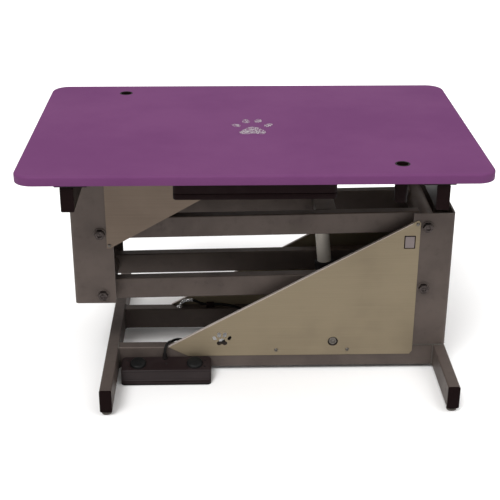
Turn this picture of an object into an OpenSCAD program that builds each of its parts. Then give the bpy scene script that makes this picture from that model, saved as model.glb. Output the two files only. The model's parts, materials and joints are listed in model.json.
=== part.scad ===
// Electric grooming table: a parallelogram lift on a welded tube base.
// The arms stand in their lowest position. +X is towards the fixed post,
// -Y towards the operator, +Z up, and the origin is on the floor under
// the middle of the table top.

/* [Table top] */
// Length of the table top
top_l = 914.4; // [800:1:1100]
// Depth of the table top
top_d = 609.6; // [560:1:660]
// Height of the table top's surface above the floor
top_z = 537; // [525:1:560]
// Thickness of the top with its skin
top_t = 19; // [16:0.5:24]
// Thickness of the coloured skin
skin_t = 3; // [2:0.5:4]
// Plan radius of the top's corners
top_r = 38; // [20:1:60]
// Radius of the rolled upper edge
edge_r = 5; // [2:0.5:8]
// Distance of each arm socket from the long edge
socket_edge = 61; // [50:1:80]
// Gap between a socket's flange and the mounting plate beside it
socket_gap = 3.5; // [2:0.5:8]
// Width of a socket's square flange
socket_flange = 60; // [50:1:66]
// Outer diameter of an arm socket's sleeve
sleeve_od = 25.4; // [24:0.1:30]
// Bore of an arm socket, for a 7/8 inch grooming arm
sleeve_id = 22.6; // [20:0.1:23]
// Length of an arm socket's sleeve
sleeve_l = 76; // [60:1:90]

/* [Tube stock] */
// Narrow side of the frame tubes
tube_w = 25.4; // [20:0.2:30]
// Tall side of the frame tubes
tube_h = 50.8; // [45:0.2:55]
// Tall side of the lift arms
arm_h = 47.6; // [40:0.2:50]
// Wall of all square tubes
wall = 2; // [1.5:0.1:3]
// Outer corner radius of all square tubes
tube_r = 3; // [2.2:0.1:4]

/* [Base] */
// Outer depth of the lift frame, front face to rear face
frame_d = 207; // [195:1:230]
// Outer face of the left foot
foot_left_x = -320.5; // [-330:0.5:-310]
// Outer face of the right foot
foot_right_x = 427; // [420:0.5:440]
// Length of a foot with its caps
foot_l = 572; // [540:1:590]
// Height of the levelling feet under the tubes
level_h = 9.4; // [8:0.1:14]
// Distance of a leveller from the end of its foot
level_in = 15; // [15:0.2:30]
// Leveller pad diameter
pad_d = 22; // [16:0.5:24]
// Leveller stem diameter
stem_d = 9; // [6:0.5:10]
// Thickness of the black end caps
cap_t = 3; // [2:0.5:5]

/* [Posts] */
// Width of the two channel posts
post_w = 88; // [80:1:95]
// Plate thickness of the posts
post_t = 4; // [3:0.5:5]
// Top of the fixed post above the floor
post_top = 374.5; // [372:0.5:385]
// Bottom of the carriage post above the floor
carriage_bottom = 170.5; // [150:0.5:172]
// Distance of the lift pivots from the open edge of the carriage post
lift_pivot_in = 27.52; // [26:0.01:30]

/* [Lift] */
// Arm length from pivot to pivot
arm_l = 691.6; // [685:0.1:695]
// Distance from the upper pivots down to the lower ones
pivot_gap = 143; // [135:0.5:150]
// Place of the fixed pivots along the length
pivot_x = 370; // [366:0.5:374]
// Height of the upper fixed pivot
pivot_z = 344; // [340:0.5:348]
// Slope of the arms at the lowest position, in degrees
rest_deg = 0.87; // [0.4:0.01:1.2]
// Outer diameter of the pivot tubes
pipe_d = 44.5; // [40:0.5:46]
// Bore of the pivot tubes
pipe_id = 38; // [34:0.5:39]
// Pivot bolt diameter
bolt_d = 12.7; // [10:0.1:14]
// Radial running clearance in every pivot
run_fit = 0.05; // [0.02:0.01:0.1]
// Side gap between an arm and the base beam beside it
arm_gap = 2.6; // [2:0.1:4]

/* [Actuator] */
// Lower actuator pivot along the length
act_x = 178; // [174:0.5:182]
// Lower actuator pivot above the floor
act_z = 71; // [70:0.5:75]
// Actuator pin on the upper arms, along the length
pin_x = 154; // [150:0.5:158]
// Actuator pin above the floor
pin_z = 321; // [318:0.5:324]
// Outer tube diameter
act_od = 31; // [28:0.5:34]
// Piston rod diameter
rod_d = 22; // [18:0.5:24]
// Top of the outer tube below the pin
tube_drop = 22; // [19:0.5:30]
// Top of the gear housing below the pin
housing_drop = 100; // [96:1:120]
// Slack of the lower eye round its bolt, for the swing that the coupling leaves out
eye_slack = 5.6; // [5.4:0.1:6.5]

/* [Guards] */
// Thickness of the guard sheets
guard_t = 1.5; // [1:0.1:2.5]
// Left tip of the lower guard
guard_tip_x = -186; // [-200:1:-150]
// Right edge of the lower guard
guard_right_x = 355; // [350:0.5:358]
// Lap of the upper guard over the carriage post
upper_guard_lap = 14; // [10:0.5:18]
// Access hole in the front lower guard
access_d = 22.6; // [22:0.2:26]
// Width over the toes of the paw cut-out
paw_w = 41; // [30:1:50]

/* [Control box] */
// Length of the control box
box_l = 318; // [280:1:330]
// Depth of the control box
box_d = 130; // [110:1:132]
// Height of the control box
box_h = 50; // [40:1:60]
// Height of its lower cover
lid_h = 12.5; // [8:0.5:20]
// Gap between the box and the front top rail
box_gap = 19.3; // [15:0.1:22]

/* [Foot control] */
// Width of the foot control
pedal_w = 196; // [180:1:205]
// Depth of the foot control
pedal_d = 58; // [54:0.5:60]
// Height of the foot control at its rear
pedal_h = 38; // [34:0.5:42]
// Middle of the foot control along the length
pedal_x = -189; // [-192:0.5:-186]
// Diameter of each foot button
button_d = 34; // [28:0.5:36]
// Distance between the two buttons
button_gap = 124; // [100:1:130]
// Slope of the button deck, in degrees
deck_deg = 14; // [8:1:18]
// Height of a button above the deck
button_h = 8; // [6:0.5:12]
// Diameter of the foot control's cord
cord_d = 6; // [5:0.5:7]

/* [Hidden] */
$fn = 48;

eps = 0.01;
// Clearance of a fixed screw or sleeve in its hole
snug = 0.1;
// Gap that keeps stacked washers, heads and nuts separate solids
film = 0.02;

// Lip of an end cap inside its tube
cap_lip = 4;
level_y = foot_l / 2 - level_in;

// Heights of the base and of the frame under the top
foot_top = level_h + tube_h;
board_z = top_z - top_t;
plate_t = 4.8;
cross_z = board_z - plate_t - tube_h;
rail_z = cross_z;

// Depths: the beams, posts and rails share the frame's two faces
face_y = frame_d / 2;
beam_in_y = face_y - tube_w;
arm_out_y = beam_in_y - arm_gap;
arm_in_y = arm_out_y - tube_w;
post_in_y = face_y - post_t;
pipe_y = post_in_y - 0.5;

// Pivots of the carriage at the lowest position
lift_x = pivot_x - arm_l * cos(rest_deg);
lift_drop = arm_l * sin(rest_deg);
fixed_post_x = foot_right_x + 0.5 - post_w;
carriage_x = lift_x + lift_pivot_in - post_w;

// Cross tubes under the top: the left one stands on the carriage post
cross_in = 26;
cross_x = -carriage_x - cross_in;
cross_l = top_d - 15.6;
plate_w = 62;
plate_in_x = cross_x - tube_w / 2 - 26.3;

// Bolts, washers, nuts and screws
head_h = 8;
head_af = 19;
washer_d = 27;
washer_t = 2;
nut_h = 10;
screw_d = 4;
screw_head_d = 8;
screw_head_h = 2;

// Slope and outline of the lower guards
guard_bottom = 38;
guard_top_x = 348;
guard_top_z = 358.5;
guard_tip_z = 61;
paw_x = -66.7;
paw_z = 80;
guard_screws = [[52.6, 51], [210.4, 51], [349, 350.5]];
upper_guard_x = carriage_x + post_w - upper_guard_lap;
upper_guard_screws = [[upper_guard_x + 5.5, 307], [upper_guard_x + 68, 488], [upper_guard_x + 328, 491]];
upper_guard_top = rail_z + 41;
upper_guard_bottom = 300.5;
upper_guard_slope = 0.5656;

// Actuator geometry at rest: it leans from its lower bolt to its pin
act_len = sqrt(pow(act_x - pin_x, 2) + pow(pin_z - act_z, 2));
act_lean = atan2(pin_x - act_x, pin_z - act_z);
eye_d = 44;
eye_w = 24;
pin_d = 12;
rod_eye_d = 30;
rod_eye_w = 18;
cheek_t = 6;
cheek_d = 26;
bracket_t = 6;
bracket_w = 44;
bracket_round = 34;
bracket_y = face_y - 10 - bracket_t;
spacer_d = 20;
small_af = 17;
yoke_w = 44.5;
yoke_h = 25.4;

// Foot control
pedal_y = -face_y - guard_t - 3;
deck_l = 40;
lip_z = 8;
shell = 2.5;
floor_t = 2.5;
foot_pad = 1.5;
cover_z = foot_pad + floor_t;
button_travel = 4;
button_in = 21;
button_y = pedal_y - button_in;
button_z = pedal_h - button_in * tan(deck_deg);
flange_t = 2;

// Cord of the foot control: over the front beam to a coil behind the guard,
// then through the clip on the rear beam and into that tube
gland_x = -193;
gland_y = -114;
gland_top = 50;
coil_x = -30;
coil_y = 0;
coil_out = 42;
coil_in = 24;
coil_h = 2 * cord_d;
cable_y = face_y - tube_w / 2;
clip_x = -94;
clip_z = 66;
clip_w = 18;
entry_x = -166;
cord_pts = [
    [-193, -114, 49], [-192, -113, 58], [-190, -110, 66], [-186, -103, 70],
    [-178, -93, 69], [-168, -82, 67], [-156, -70, 60], [-142, -58, 44],
    [-126, -48, 28], [-108, -40, 15], [-86, -37, 7], [-60, -38, 4], [-34, -38.8, 3.2]
];
cable_pts = [
    [9, 0, 9], [9.6, 14, 10], [12, 28, 15], [14, 41, 26], [11, 53, 40],
    [1, 62, 53], [-15, 69, 61.5], [-34, 76, 65.5], [-54, 84, 66.5], [-70, 89, 66.3], [-84, 90.8, 66],
    [-104, 90.8, 66], [-118, 90.8, 69], [-130, 90.8, 75], [-142, 90.8, 77],
    [-154, 90.8, 75], [-162, 90.8, 69], [-166, 90.8, 61]
];

// ---------- shared shapes ----------

// Rounded rectangle in the plane, centred
module rounded(w, h, r) {
    square([w - 2 * r, h], center = true);
    square([w, h - 2 * r], center = true);
    for (sx = [-1, 1], sy = [-1, 1])
        translate([sx * (w / 2 - r), sy * (h / 2 - r)]) circle(r);
}

// Section of a rectangular tube, w across and h tall
module tube_section(w, h) {
    difference() {
        rounded(w, h, tube_r);
        rounded(w - 2 * wall, h - 2 * wall, tube_r - wall);
    }
}

// Tube along +X from the origin, its section centred on the axis
module tube_x(l, w, h) {
    rotate([90, 0, 90]) linear_extrude(l) tube_section(w, h);
}

// Tube along Y, centred on the origin
module tube_y(l, w, h) {
    translate([0, l / 2, 0]) rotate([90, 0, 0]) linear_extrude(l) tube_section(w, h);
}

// Round bar along Y from y0 to y1 at x, z
module bar_y(x, z, y0, y1, d) {
    translate([x, y1, z]) rotate([90, 0, 0]) cylinder(d = d, h = y1 - y0);
}

// Ring along Y from y0 to y1
module ring_y(x, z, y0, y1, od, id) {
    difference() {
        bar_y(x, z, y0, y1, od);
        bar_y(x, z, y0 - 1, y1 + 1, id);
    }
}

// Hexagon bar along Y, af across its flats
module hex_y(x, z, y0, y1, af) {
    translate([x, y1, z]) rotate([90, 0, 0]) cylinder(d = af / cos(30), h = y1 - y0, $fn = 6);
}

// Sheet standing in the XZ plane, its front face at y
module sheet_xz(y, t) {
    translate([0, y + t, 0]) rotate([90, 0, 0]) linear_extrude(t) children();
}

// Pan head screw along Y: its head outside the face at y, side -1 at the front and 1 at the rear
module screw_y(x, z, y, side, l) {
    y0 = side < 0 ? y - screw_head_h : y - l;
    y1 = side < 0 ? y + l : y + screw_head_h;
    bar_y(x, z, y0, y1, screw_d);
    bar_y(x, z, side < 0 ? y - screw_head_h : y, side < 0 ? y : y + screw_head_h, screw_head_d);
}

// Black plug for a tube end, its outer face at y: side -1 at the front and 1 at the rear
module end_cap(x, z, y, side) {
    head_y = side < 0 ? y + cap_t : y;
    lip_y = side < 0 ? y + cap_t + cap_lip : y - cap_t;
    translate([x, head_y, z]) rotate([90, 0, 0])
        linear_extrude(cap_t) rounded(tube_w, tube_h, tube_r);
    translate([x, lip_y, z]) rotate([90, 0, 0]) linear_extrude(cap_lip) difference() {
        rounded(tube_w - 2 * wall - snug, tube_h - 2 * wall - snug, tube_r - wall);
        rounded(tube_w - 4 * wall, tube_h - 4 * wall, tube_r - wall);
    }
}

// Sweep of a round cord along points, as one polyhedron with rings across the run
function unit(v) = v / norm(v);
function bend_dir(p, i) = unit(unit(p[min(i + 1, len(p) - 1)] - p[max(i - 1, 0)]));
function side_dir(t) = unit(cross(t, abs(t[2]) > 0.9 ? [1, 0, 0] : [0, 0, 1]));
function mid_pts(p) = [
    for (i = [0 : len(p) - 2]) for (k = [0 : 1])
        let (a = p[max(i - 1, 0)], b = p[i], c = p[i + 1], d = p[min(i + 2, len(p) - 1)], t = k / 2)
        k == 0 ? b : (-a + 9 * b + 9 * c - d) / 16,
    p[len(p) - 1]
];
module sweep(route, d) {
    p = mid_pts(route);
    sides = 8;
    r = d / 2;
    pts = [
        for (i = [0 : len(p) - 1]) let (t = bend_dir(p, i), u = side_dir(t), v = cross(t, u))
            for (k = [0 : sides - 1]) p[i] + r * (cos(360 * k / sides) * u + sin(360 * k / sides) * v)
    ];
    n = len(p);
    faces = concat(
        [[for (k = [0 : sides - 1]) k]],
        [for (i = [0 : n - 2]) for (k = [0 : sides - 1]) let (m = (k + 1) % sides)
            [i * sides + k, (i + 1) * sides + k, (i + 1) * sides + m, i * sides + m]],
        [[for (k = [sides - 1 : -1 : 0]) (n - 1) * sides + k]]
    );
    polyhedron(points = pts, faces = faces, convexity = 4);
}

// ---------- base ----------

// Foot tube with its two welded leveller nuts
module foot(x0) {
    x = x0 + tube_w / 2;
    color("silver") difference() {
        union() {
            translate([x, 0, level_h + tube_h / 2]) tube_y(foot_l - 2 * cap_t, tube_w, tube_h);
            for (side = [-1, 1]) translate([x, side * level_y, level_h + wall / 2])
                cylinder(d = stem_d + 5, h = 9);
        }
        for (side = [-1, 1]) translate([x, side * level_y, level_h - 1])
            cylinder(d = stem_d + 2 * run_fit, h = 14);
    }
}
module foot_left() foot(foot_left_x);
module foot_right() foot(foot_right_x - tube_w);

module foot_caps() {
    color("#1b1b1b") for (x = [foot_left_x, foot_right_x - tube_w]) {
        end_cap(x + tube_w / 2, level_h + tube_h / 2, -foot_l / 2, -1);
        end_cap(x + tube_w / 2, level_h + tube_h / 2, foot_l / 2, 1);
    }
}

// Screw-in foot: a domed pad on a stem
module leveler(x, side) {
    color("gainsboro") translate([x + tube_w / 2, side * level_y, 0]) rotate_extrude()
        polygon([
            [0, 0], [pad_d / 2 - 1.5, 0], [pad_d / 2, 1.5], [pad_d / 2 - 0.8, 4],
            [pad_d / 2 - 3.2, 6.6], [stem_d / 2, level_h - 1.4], [stem_d / 2, level_h + 16],
            [stem_d / 2 - 1, level_h + 17], [0, level_h + 17]
        ]);
}
module leveler_front_left() leveler(foot_left_x, -1);
module leveler_front_right() leveler(foot_right_x - tube_w, -1);
module leveler_rear_left() leveler(foot_left_x, 1);
module leveler_rear_right() leveler(foot_right_x - tube_w, 1);

// Long beam between the feet, with the holes of its guard screws
module beam(side) {
    x0 = foot_left_x + tube_w;
    y = side * (face_y - tube_w / 2);
    color("silver") difference() {
        translate([x0, y, level_h + tube_h / 2]) tube_x(foot_right_x - tube_w - x0, tube_w, tube_h);
        for (s = guard_screws) if (s[1] < foot_top)
            bar_y(s[0], s[1], side * face_y - 6, side * face_y + 6, screw_d + snug);
        if (side > 0) translate([entry_x, cable_y, foot_top - 2 * wall])
            cylinder(d = cord_d + 4, h = 3 * wall);
    }
}
module beam_front() beam(-1);
module beam_rear() beam(1);

// Channel in plan, bent from plate: two side plates and a web
module channel(x0, z0, z1, open_side) {
    bend = 7;
    translate([x0 + post_w / 2, 0, z0]) mirror([open_side > 0 ? 1 : 0, 0, 0])
        linear_extrude(z1 - z0) difference() {
            union() {
                translate([-post_w / 2, -face_y]) square([post_w - bend, frame_d]);
                translate([0, -face_y + bend]) square([post_w / 2, frame_d - 2 * bend]);
                for (s = [-1, 1]) translate([post_w / 2 - bend, s * (face_y - bend)]) circle(bend);
            }
            translate([-post_w / 2 - 1, -post_in_y])
                square([post_w + 1 - post_t - (bend - post_t), 2 * post_in_y]);
            translate([0, -post_in_y + bend - post_t])
                square([post_w / 2 - post_t, 2 * (post_in_y - bend + post_t)]);
            for (s = [-1, 1]) translate([post_w / 2 - bend, s * (face_y - bend)])
                circle(bend - post_t);
        }
}

// Bolt holes across both plates of a post
module bolt_holes(x, zs) {
    for (z = zs) bar_y(x, z, -face_y - 1, face_y + 1, bolt_d + snug);
}

module fixed_post() {
    color("silver") difference() {
        channel(fixed_post_x, foot_top, post_top, -1);
        bolt_holes(pivot_x, [pivot_z, pivot_z - pivot_gap]);
        for (side = [-1, 1]) for (s = guard_screws) if (s[1] > foot_top)
            bar_y(s[0], s[1], side * face_y - 6, side * face_y + 6, screw_d + snug);
    }
}

// A toe of the paw: a capsule that leans by a
module toe(x, z, a, r, l) {
    translate([x, z]) rotate(a) {
        square([2 * r, l - 2 * r], center = true);
        for (s = [-1, 1]) translate([0, s * (l / 2 - r)]) circle(r);
    }
}

// Plain paw print, w wide over its toes
module paw(w) {
    k = w / 41;
    scale([k, k, 1]) {
        toe(-16.6, 1.5, 28, 3.6, 11);
        toe(-6.4, 9.6, 8, 3.9, 12.4);
        toe(6.4, 9.6, -8, 3.9, 12.4);
        toe(16.6, 1.5, -28, 3.6, 11);
        translate([0, -6]) circle(7);
        for (s = [-1, 1]) translate([s * 6.4, -11]) circle(5.2);
        translate([-6.4, -13.4]) square([12.8, 8]);
    }
}

// Outline of a lower guard in the XZ plane
module lower_guard_outline(paws) {
    chamfer = 8;
    difference() {
        polygon([
            [guard_tip_x, guard_tip_z], [guard_tip_x + 44, guard_bottom],
            [guard_right_x - 6, guard_bottom], [guard_right_x, guard_bottom + chamfer],
            [guard_right_x, guard_top_z - 6], [guard_top_x + 3, guard_top_z],
            [guard_top_x, guard_top_z]
        ]);
        for (s = guard_screws) translate(s) circle(d = screw_d + snug);
        if (paws) translate([paw_x, paw_z]) paw(paw_w);
        if (paws) translate([act_x, act_z]) circle(d = access_d);
    }
}
module lower_guard_front() {
    color("#b9b29c") sheet_xz(-face_y - guard_t, guard_t) lower_guard_outline(true);
}
module lower_guard_rear() {
    color("#b9b29c") sheet_xz(face_y, guard_t) lower_guard_outline(false);
}

module base_screws() {
    color("gainsboro") for (side = [-1, 1]) for (s = guard_screws)
        screw_y(s[0], s[1], side * (face_y + guard_t), side, guard_t + post_t - 1);
}

// Bolt with its head at the front, two washers and a nut at the rear
module through_bolt(x, z, reach, d, af, wd) {
    bar_y(x, z, -reach - washer_t, reach + washer_t + nut_h, d);
    hex_y(x, z, -reach - washer_t - head_h, -reach - washer_t, af);
    for (side = [-1, 1])
        ring_y(x, z, side < 0 ? -reach - washer_t + film : reach,
            side < 0 ? -reach : reach + washer_t - film, wd, d + snug);
    difference() {
        hex_y(x, z, reach + washer_t, reach + washer_t + nut_h - 2, af);
        bar_y(x, z, reach, reach + washer_t + nut_h, d + snug);
    }
}
module base_pivot_bolts() {
    color("gray") for (z = [pivot_z, pivot_z - pivot_gap])
        through_bolt(pivot_x, z, face_y, bolt_d, head_af, washer_d);
}

// Two ears welded on the beams, which carry the lower actuator bolt
module actuator_brackets() {
    color("silver") for (side = [-1, 1]) difference() {
        translate([0, side * (bracket_y + bracket_t / 2), 0]) {
            bar_y(act_x, act_z, -bracket_t / 2, bracket_t / 2, bracket_round);
            translate([act_x - bracket_w / 2, -bracket_t / 2, foot_top])
                cube([bracket_w, bracket_t, act_z - foot_top]);
        }
        bar_y(act_x, act_z, side * bracket_y - bracket_t - 1, side * bracket_y + bracket_t + 1,
            bolt_d + snug);
        translate([act_x - bracket_w, -face_y, foot_top - bracket_w])
            cube([2 * bracket_w, frame_d, bracket_w]);
    }
}
module actuator_bolt() {
    reach = bracket_y + bracket_t;
    small_head = face_y - reach - washer_t - 0.4;
    color("gray") {
        bar_y(act_x, act_z, -reach - washer_t, face_y - 0.4, bolt_d);
        hex_y(act_x, act_z, -reach - washer_t - small_head, -reach - washer_t, small_af);
        ring_y(act_x, act_z, -reach - washer_t + film, -reach, spacer_d, bolt_d + snug);
        ring_y(act_x, act_z, reach, reach + washer_t - film, spacer_d, bolt_d + snug);
        difference() {
            hex_y(act_x, act_z, reach + washer_t, reach + washer_t + small_head - 0.5, small_af);
            bar_y(act_x, act_z, reach, face_y, bolt_d + snug);
        }
    }
}

// Tubes that keep the lower eye in the middle of its bolt
module actuator_spacers() {
    color("silver") for (side = [-1, 1])
        ring_y(act_x, act_z, side < 0 ? -bracket_y : eye_w / 2 + 0.4,
            side < 0 ? -eye_w / 2 - 0.4 : bracket_y, spacer_d, bolt_d + snug);
}

// On the rear beam: the clamp that holds the cord, and the grommet where it goes in
module cable_clips() {
    color("#1b1b1b") difference() {
        translate([clip_x - clip_w / 2, cable_y - 8, foot_top])
            cube([clip_w, 16, clip_z - foot_top + cord_d / 2 + 4]);
        translate([clip_x - clip_w, cable_y, clip_z]) rotate([0, 90, 0])
            cylinder(d = cord_d + 0.8, h = 2 * clip_w);
    }
    color("gainsboro") translate([entry_x, cable_y, foot_top]) rotate_extrude() polygon([
        [cord_d / 2 + 0.4, -2 * wall], [cord_d / 2 + 1.9, -2 * wall], [cord_d / 2 + 1.9, 0],
        [cord_d / 2 + 5, 0], [cord_d / 2 + 4, 2.5], [cord_d / 2 + 0.4, 3.5]
    ]);
}

module harness_cable() { color("#161616") sweep(cable_pts, cord_d); }
module pedal_cord() { color("#161616") sweep(cord_pts, cord_d); }

// The slack of the cord, coiled in two layers on the floor
module cord_coil() {
    r = cord_d / 2;
    color("#161616") translate([coil_x, coil_y, 0]) rotate_extrude() {
        translate([coil_in, r]) square([coil_out - coil_in, coil_h - 2 * r]);
        translate([coil_in + r, 0]) square([coil_out - coil_in - 2 * r, coil_h]);
        for (x = [coil_in + r, coil_out - r], z = [r, coil_h - r]) translate([x, z]) circle(r);
    }
}

// ---------- foot control ----------

// Plan of the foot control, in by an even margin
module pedal_plan(m) {
    translate([pedal_x, pedal_y - pedal_d / 2]) rounded(pedal_w - 2 * m, pedal_d - 2 * m, 9 - m);
}

// Side of the cover: a sloping deck, then a steep apron down to the lip
module pedal_profile(m) {
    deck_z = pedal_h - deck_l * tan(deck_deg);
    translate([pedal_x - pedal_w, 0, 0]) rotate([90, 0, 90]) linear_extrude(2 * pedal_w) polygon([
        [pedal_y, cover_z], [pedal_y, pedal_h - m], [pedal_y - deck_l + m / 2, deck_z - m],
        [pedal_y - pedal_d + 5 + m, lip_z - m / 3], [pedal_y - pedal_d, lip_z - m],
        [pedal_y - pedal_d, cover_z]
    ]);
}

// Puts its children on the deck, at button number i, with +Z out of the deck
module on_deck(i) {
    translate([pedal_x + (i - 0.5) * button_gap, button_y, button_z])
        rotate([deck_deg, 0, 0]) children();
}

module pedal_base() {
    color("#202020") {
        translate([0, 0, foot_pad]) linear_extrude(floor_t) pedal_plan(0);
        for (sx = [-1, 1], sy = [-1, 1])
            translate([pedal_x + sx * (pedal_w / 2 - 16), pedal_y - pedal_d / 2 + sy * 15, 0])
                cylinder(d = 14, h = foot_pad);
    }
}
module pedal_cover() {
    color("#242424") difference() {
        intersection() {
            pedal_profile(0);
            translate([0, 0, cover_z]) linear_extrude(pedal_h) pedal_plan(0);
        }
        intersection() {
            pedal_profile(shell);
            translate([0, 0, cover_z - 1]) linear_extrude(pedal_h) pedal_plan(shell);
        }
        for (i = [0, 1]) on_deck(i) translate([0, 0, -4 * shell])
            cylinder(d = button_d + 0.8, h = 6 * shell);
        translate([gland_x, gland_y, pedal_h - 4 * shell]) cylinder(d = cord_d + 2, h = 5 * shell);
    }
}

// Two small switches under the buttons, on the floor plate
module pedal_switches() {
    color("#303030") for (i = [0, 1])
        translate([pedal_x + (i - 0.5) * button_gap - 10, button_y + 1, cover_z])
            cube([20, 10, button_z - shell - flange_t - button_travel - 5 - cover_z]);
}
module pedal_gland() {
    color("#1b1b1b") translate([gland_x, gland_y, 0]) rotate_extrude() polygon([
        [cord_d / 2 + 0.05, pedal_h - 8], [cord_d / 2 + 0.9, pedal_h - 8],
        [cord_d / 2 + 0.9, pedal_h + 0.3], [cord_d / 2 + 2.8, pedal_h + 0.3],
        [cord_d / 2 + 1.6, gland_top], [cord_d / 2 + 0.05, gland_top]
    ]);
}

// Domed button with two lugs that hold it under the deck
module button(i) {
    r = button_d / 2;
    root = -shell - 0.2 - flange_t;
    color("#101010") on_deck(i) {
        rotate_extrude() polygon(concat(
            [[0, root], [r, root]],
            [for (a = [0 : 15 : 90]) [r - 5 + 5 * cos(a), button_h - 4 + 4 * sin(a)]],
            [[0, button_h]]
        ));
        translate([0, 0, root]) linear_extrude(flange_t) intersection() {
            circle(r + 3);
            square([3 * r, r], center = true);
        }
    }
}
module button_up() button(0);
module button_down() button(1);

// ---------- lift arms ----------

// Turns its children from level arms to the lowest position, about a fixed pivot
module on_arm(z) {
    translate([pivot_x, 0, z]) rotate([0, -rest_deg, 0]) children();
}

// Arm tube, cut to sit on both pivot tubes
module lift_arm(side) {
    end = 14;
    color("silver") difference() {
        translate([-arm_l + end, side * (arm_out_y - tube_w / 2), 0])
            tube_x(arm_l - 2 * end, tube_w, arm_h);
        for (x = [-arm_l, 0]) bar_y(x, 0, -face_y, face_y, pipe_d + snug);
    }
}
module pivot_tube(x) {
    color("silver") ring_y(x, 0, -pipe_y, pipe_y, pipe_d, pipe_id);
}
module pivot_bushes() {
    color("#c8a86a") for (x = [-arm_l, 0], side = [-1, 1])
        ring_y(x, 0, side < 0 ? -pipe_y : pipe_y - bush_l, side < 0 ? bush_l - pipe_y : pipe_y,
            pipe_id - 0.02, bolt_d + 2 * run_fit);
}
module upper_arm_front() on_arm(pivot_z) lift_arm(-1);
module upper_arm_rear() on_arm(pivot_z) lift_arm(1);
module upper_tube_fixed() on_arm(pivot_z) pivot_tube(0);
module upper_tube_lift() on_arm(pivot_z) pivot_tube(-arm_l);
module upper_bushes() on_arm(pivot_z) pivot_bushes();
module lower_arm_front() on_arm(pivot_z - pivot_gap) lift_arm(-1);
module lower_arm_rear() on_arm(pivot_z - pivot_gap) lift_arm(1);
module lower_tube_fixed() on_arm(pivot_z - pivot_gap) pivot_tube(0);
module lower_tube_lift() on_arm(pivot_z - pivot_gap) pivot_tube(-arm_l);
module lower_bushes() on_arm(pivot_z - pivot_gap) pivot_bushes();

// Cross bar between the upper arms, with two cheeks for the actuator pin
module lift_yoke() {
    bar_x = pin_x + 5;
    arm_z = pivot_z - (pivot_x - bar_x) * sin(rest_deg);
    bar_z = arm_z + arm_h / 2 - 1 - yoke_h / 2;
    color("silver") {
        translate([bar_x, 0, bar_z]) tube_y(2 * arm_in_y, yoke_w, yoke_h);
        for (side = [-1, 1]) difference() {
            y = side * (rod_eye_w / 2 + 0.5 + cheek_t / 2);
            translate([0, y, 0]) {
                bar_y(pin_x, pin_z, -cheek_t / 2, cheek_t / 2, cheek_d);
                translate([pin_x - cheek_d / 2, -cheek_t / 2, pin_z])
                    cube([cheek_d, cheek_t, bar_z - yoke_h / 2 - pin_z]);
            }
            bar_y(pin_x, pin_z, -face_y, face_y, pin_d + snug);
        }
    }
}
module lift_pin() {
    reach = rod_eye_w / 2 + 0.5 + cheek_t;
    color("gray") {
        bar_y(pin_x, pin_z, -reach - 4, reach + 6, pin_d);
        bar_y(pin_x, pin_z, -reach - 5, -reach, pin_d + 6);
        ring_y(pin_x, pin_z, reach, reach + 2, pin_d + 8, pin_d - 1);
    }
}

// ---------- actuator ----------

// Local frame of the actuator: its pin at the origin, -Z towards its lower bolt
module on_actuator() {
    translate([pin_x, 0, pin_z]) rotate([0, act_lean, 0]) children();
}
rod_l = 192;
tube_l = 184;
case_top = -act_len + 71;
case_bottom = -act_len + 30;
case_d = 62;
case_r = 14;
motor_x = 54;
motor_d = 56;
motor_h = 66;
motor_cap_h = 8;
bush_l = 30;

module piston_rod() {
    color("gainsboro") on_actuator() difference() {
        union() {
            bar_y(0, 0, -rod_eye_w / 2, rod_eye_w / 2, rod_eye_d);
            translate([0, 0, -rod_l]) cylinder(d = rod_d, h = rod_l - rod_eye_d / 2 - 1);
            translate([0, 0, -rod_eye_d / 2 - 3]) cylinder(d = rod_eye_w - 2, h = 8);
        }
        bar_y(0, 0, -rod_eye_w, rod_eye_w, pin_d + 2 * run_fit);
    }
}
module actuator_tube() {
    color("#c9c7bd") on_actuator() translate([0, 0, -tube_drop - tube_l]) difference() {
        cylinder(d = act_od, h = tube_l);
        translate([0, 0, -1]) cylinder(d = rod_d + 2 * run_fit, h = tube_l + 2);
    }
}
module gear_housing() {
    collar_d = act_od + 13;
    color("#1e1e1e") on_actuator() difference() {
        union() {
            translate([0, 0, case_bottom]) cylinder(d = collar_d, h = -housing_drop - case_bottom);
            translate([motor_x / 2, 0, case_bottom]) linear_extrude(case_top - case_bottom)
                rounded(motor_x + case_d - 2, case_d, case_r);
            translate([-eye_d / 2, -eye_w / 2, -act_len])
                cube([eye_d, eye_w, case_bottom + act_len + 4]);
            bar_y(0, -act_len, -eye_w / 2, eye_w / 2, eye_d);
        }
        translate([0, 0, -tube_drop - tube_l - 0.5]) cylinder(d = act_od + snug, h = tube_l);
        bar_y(0, -act_len, -eye_w, eye_w, bolt_d + 2 * eye_slack);
    }
}
module actuator_motor() {
    color("#2a2a2a") on_actuator() translate([motor_x, 0, case_top]) {
        cylinder(d = motor_d, h = motor_h);
        translate([0, 0, motor_h]) cylinder(d = motor_d - 10, h = motor_cap_h);
    }
}

// ---------- carriage ----------

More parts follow.
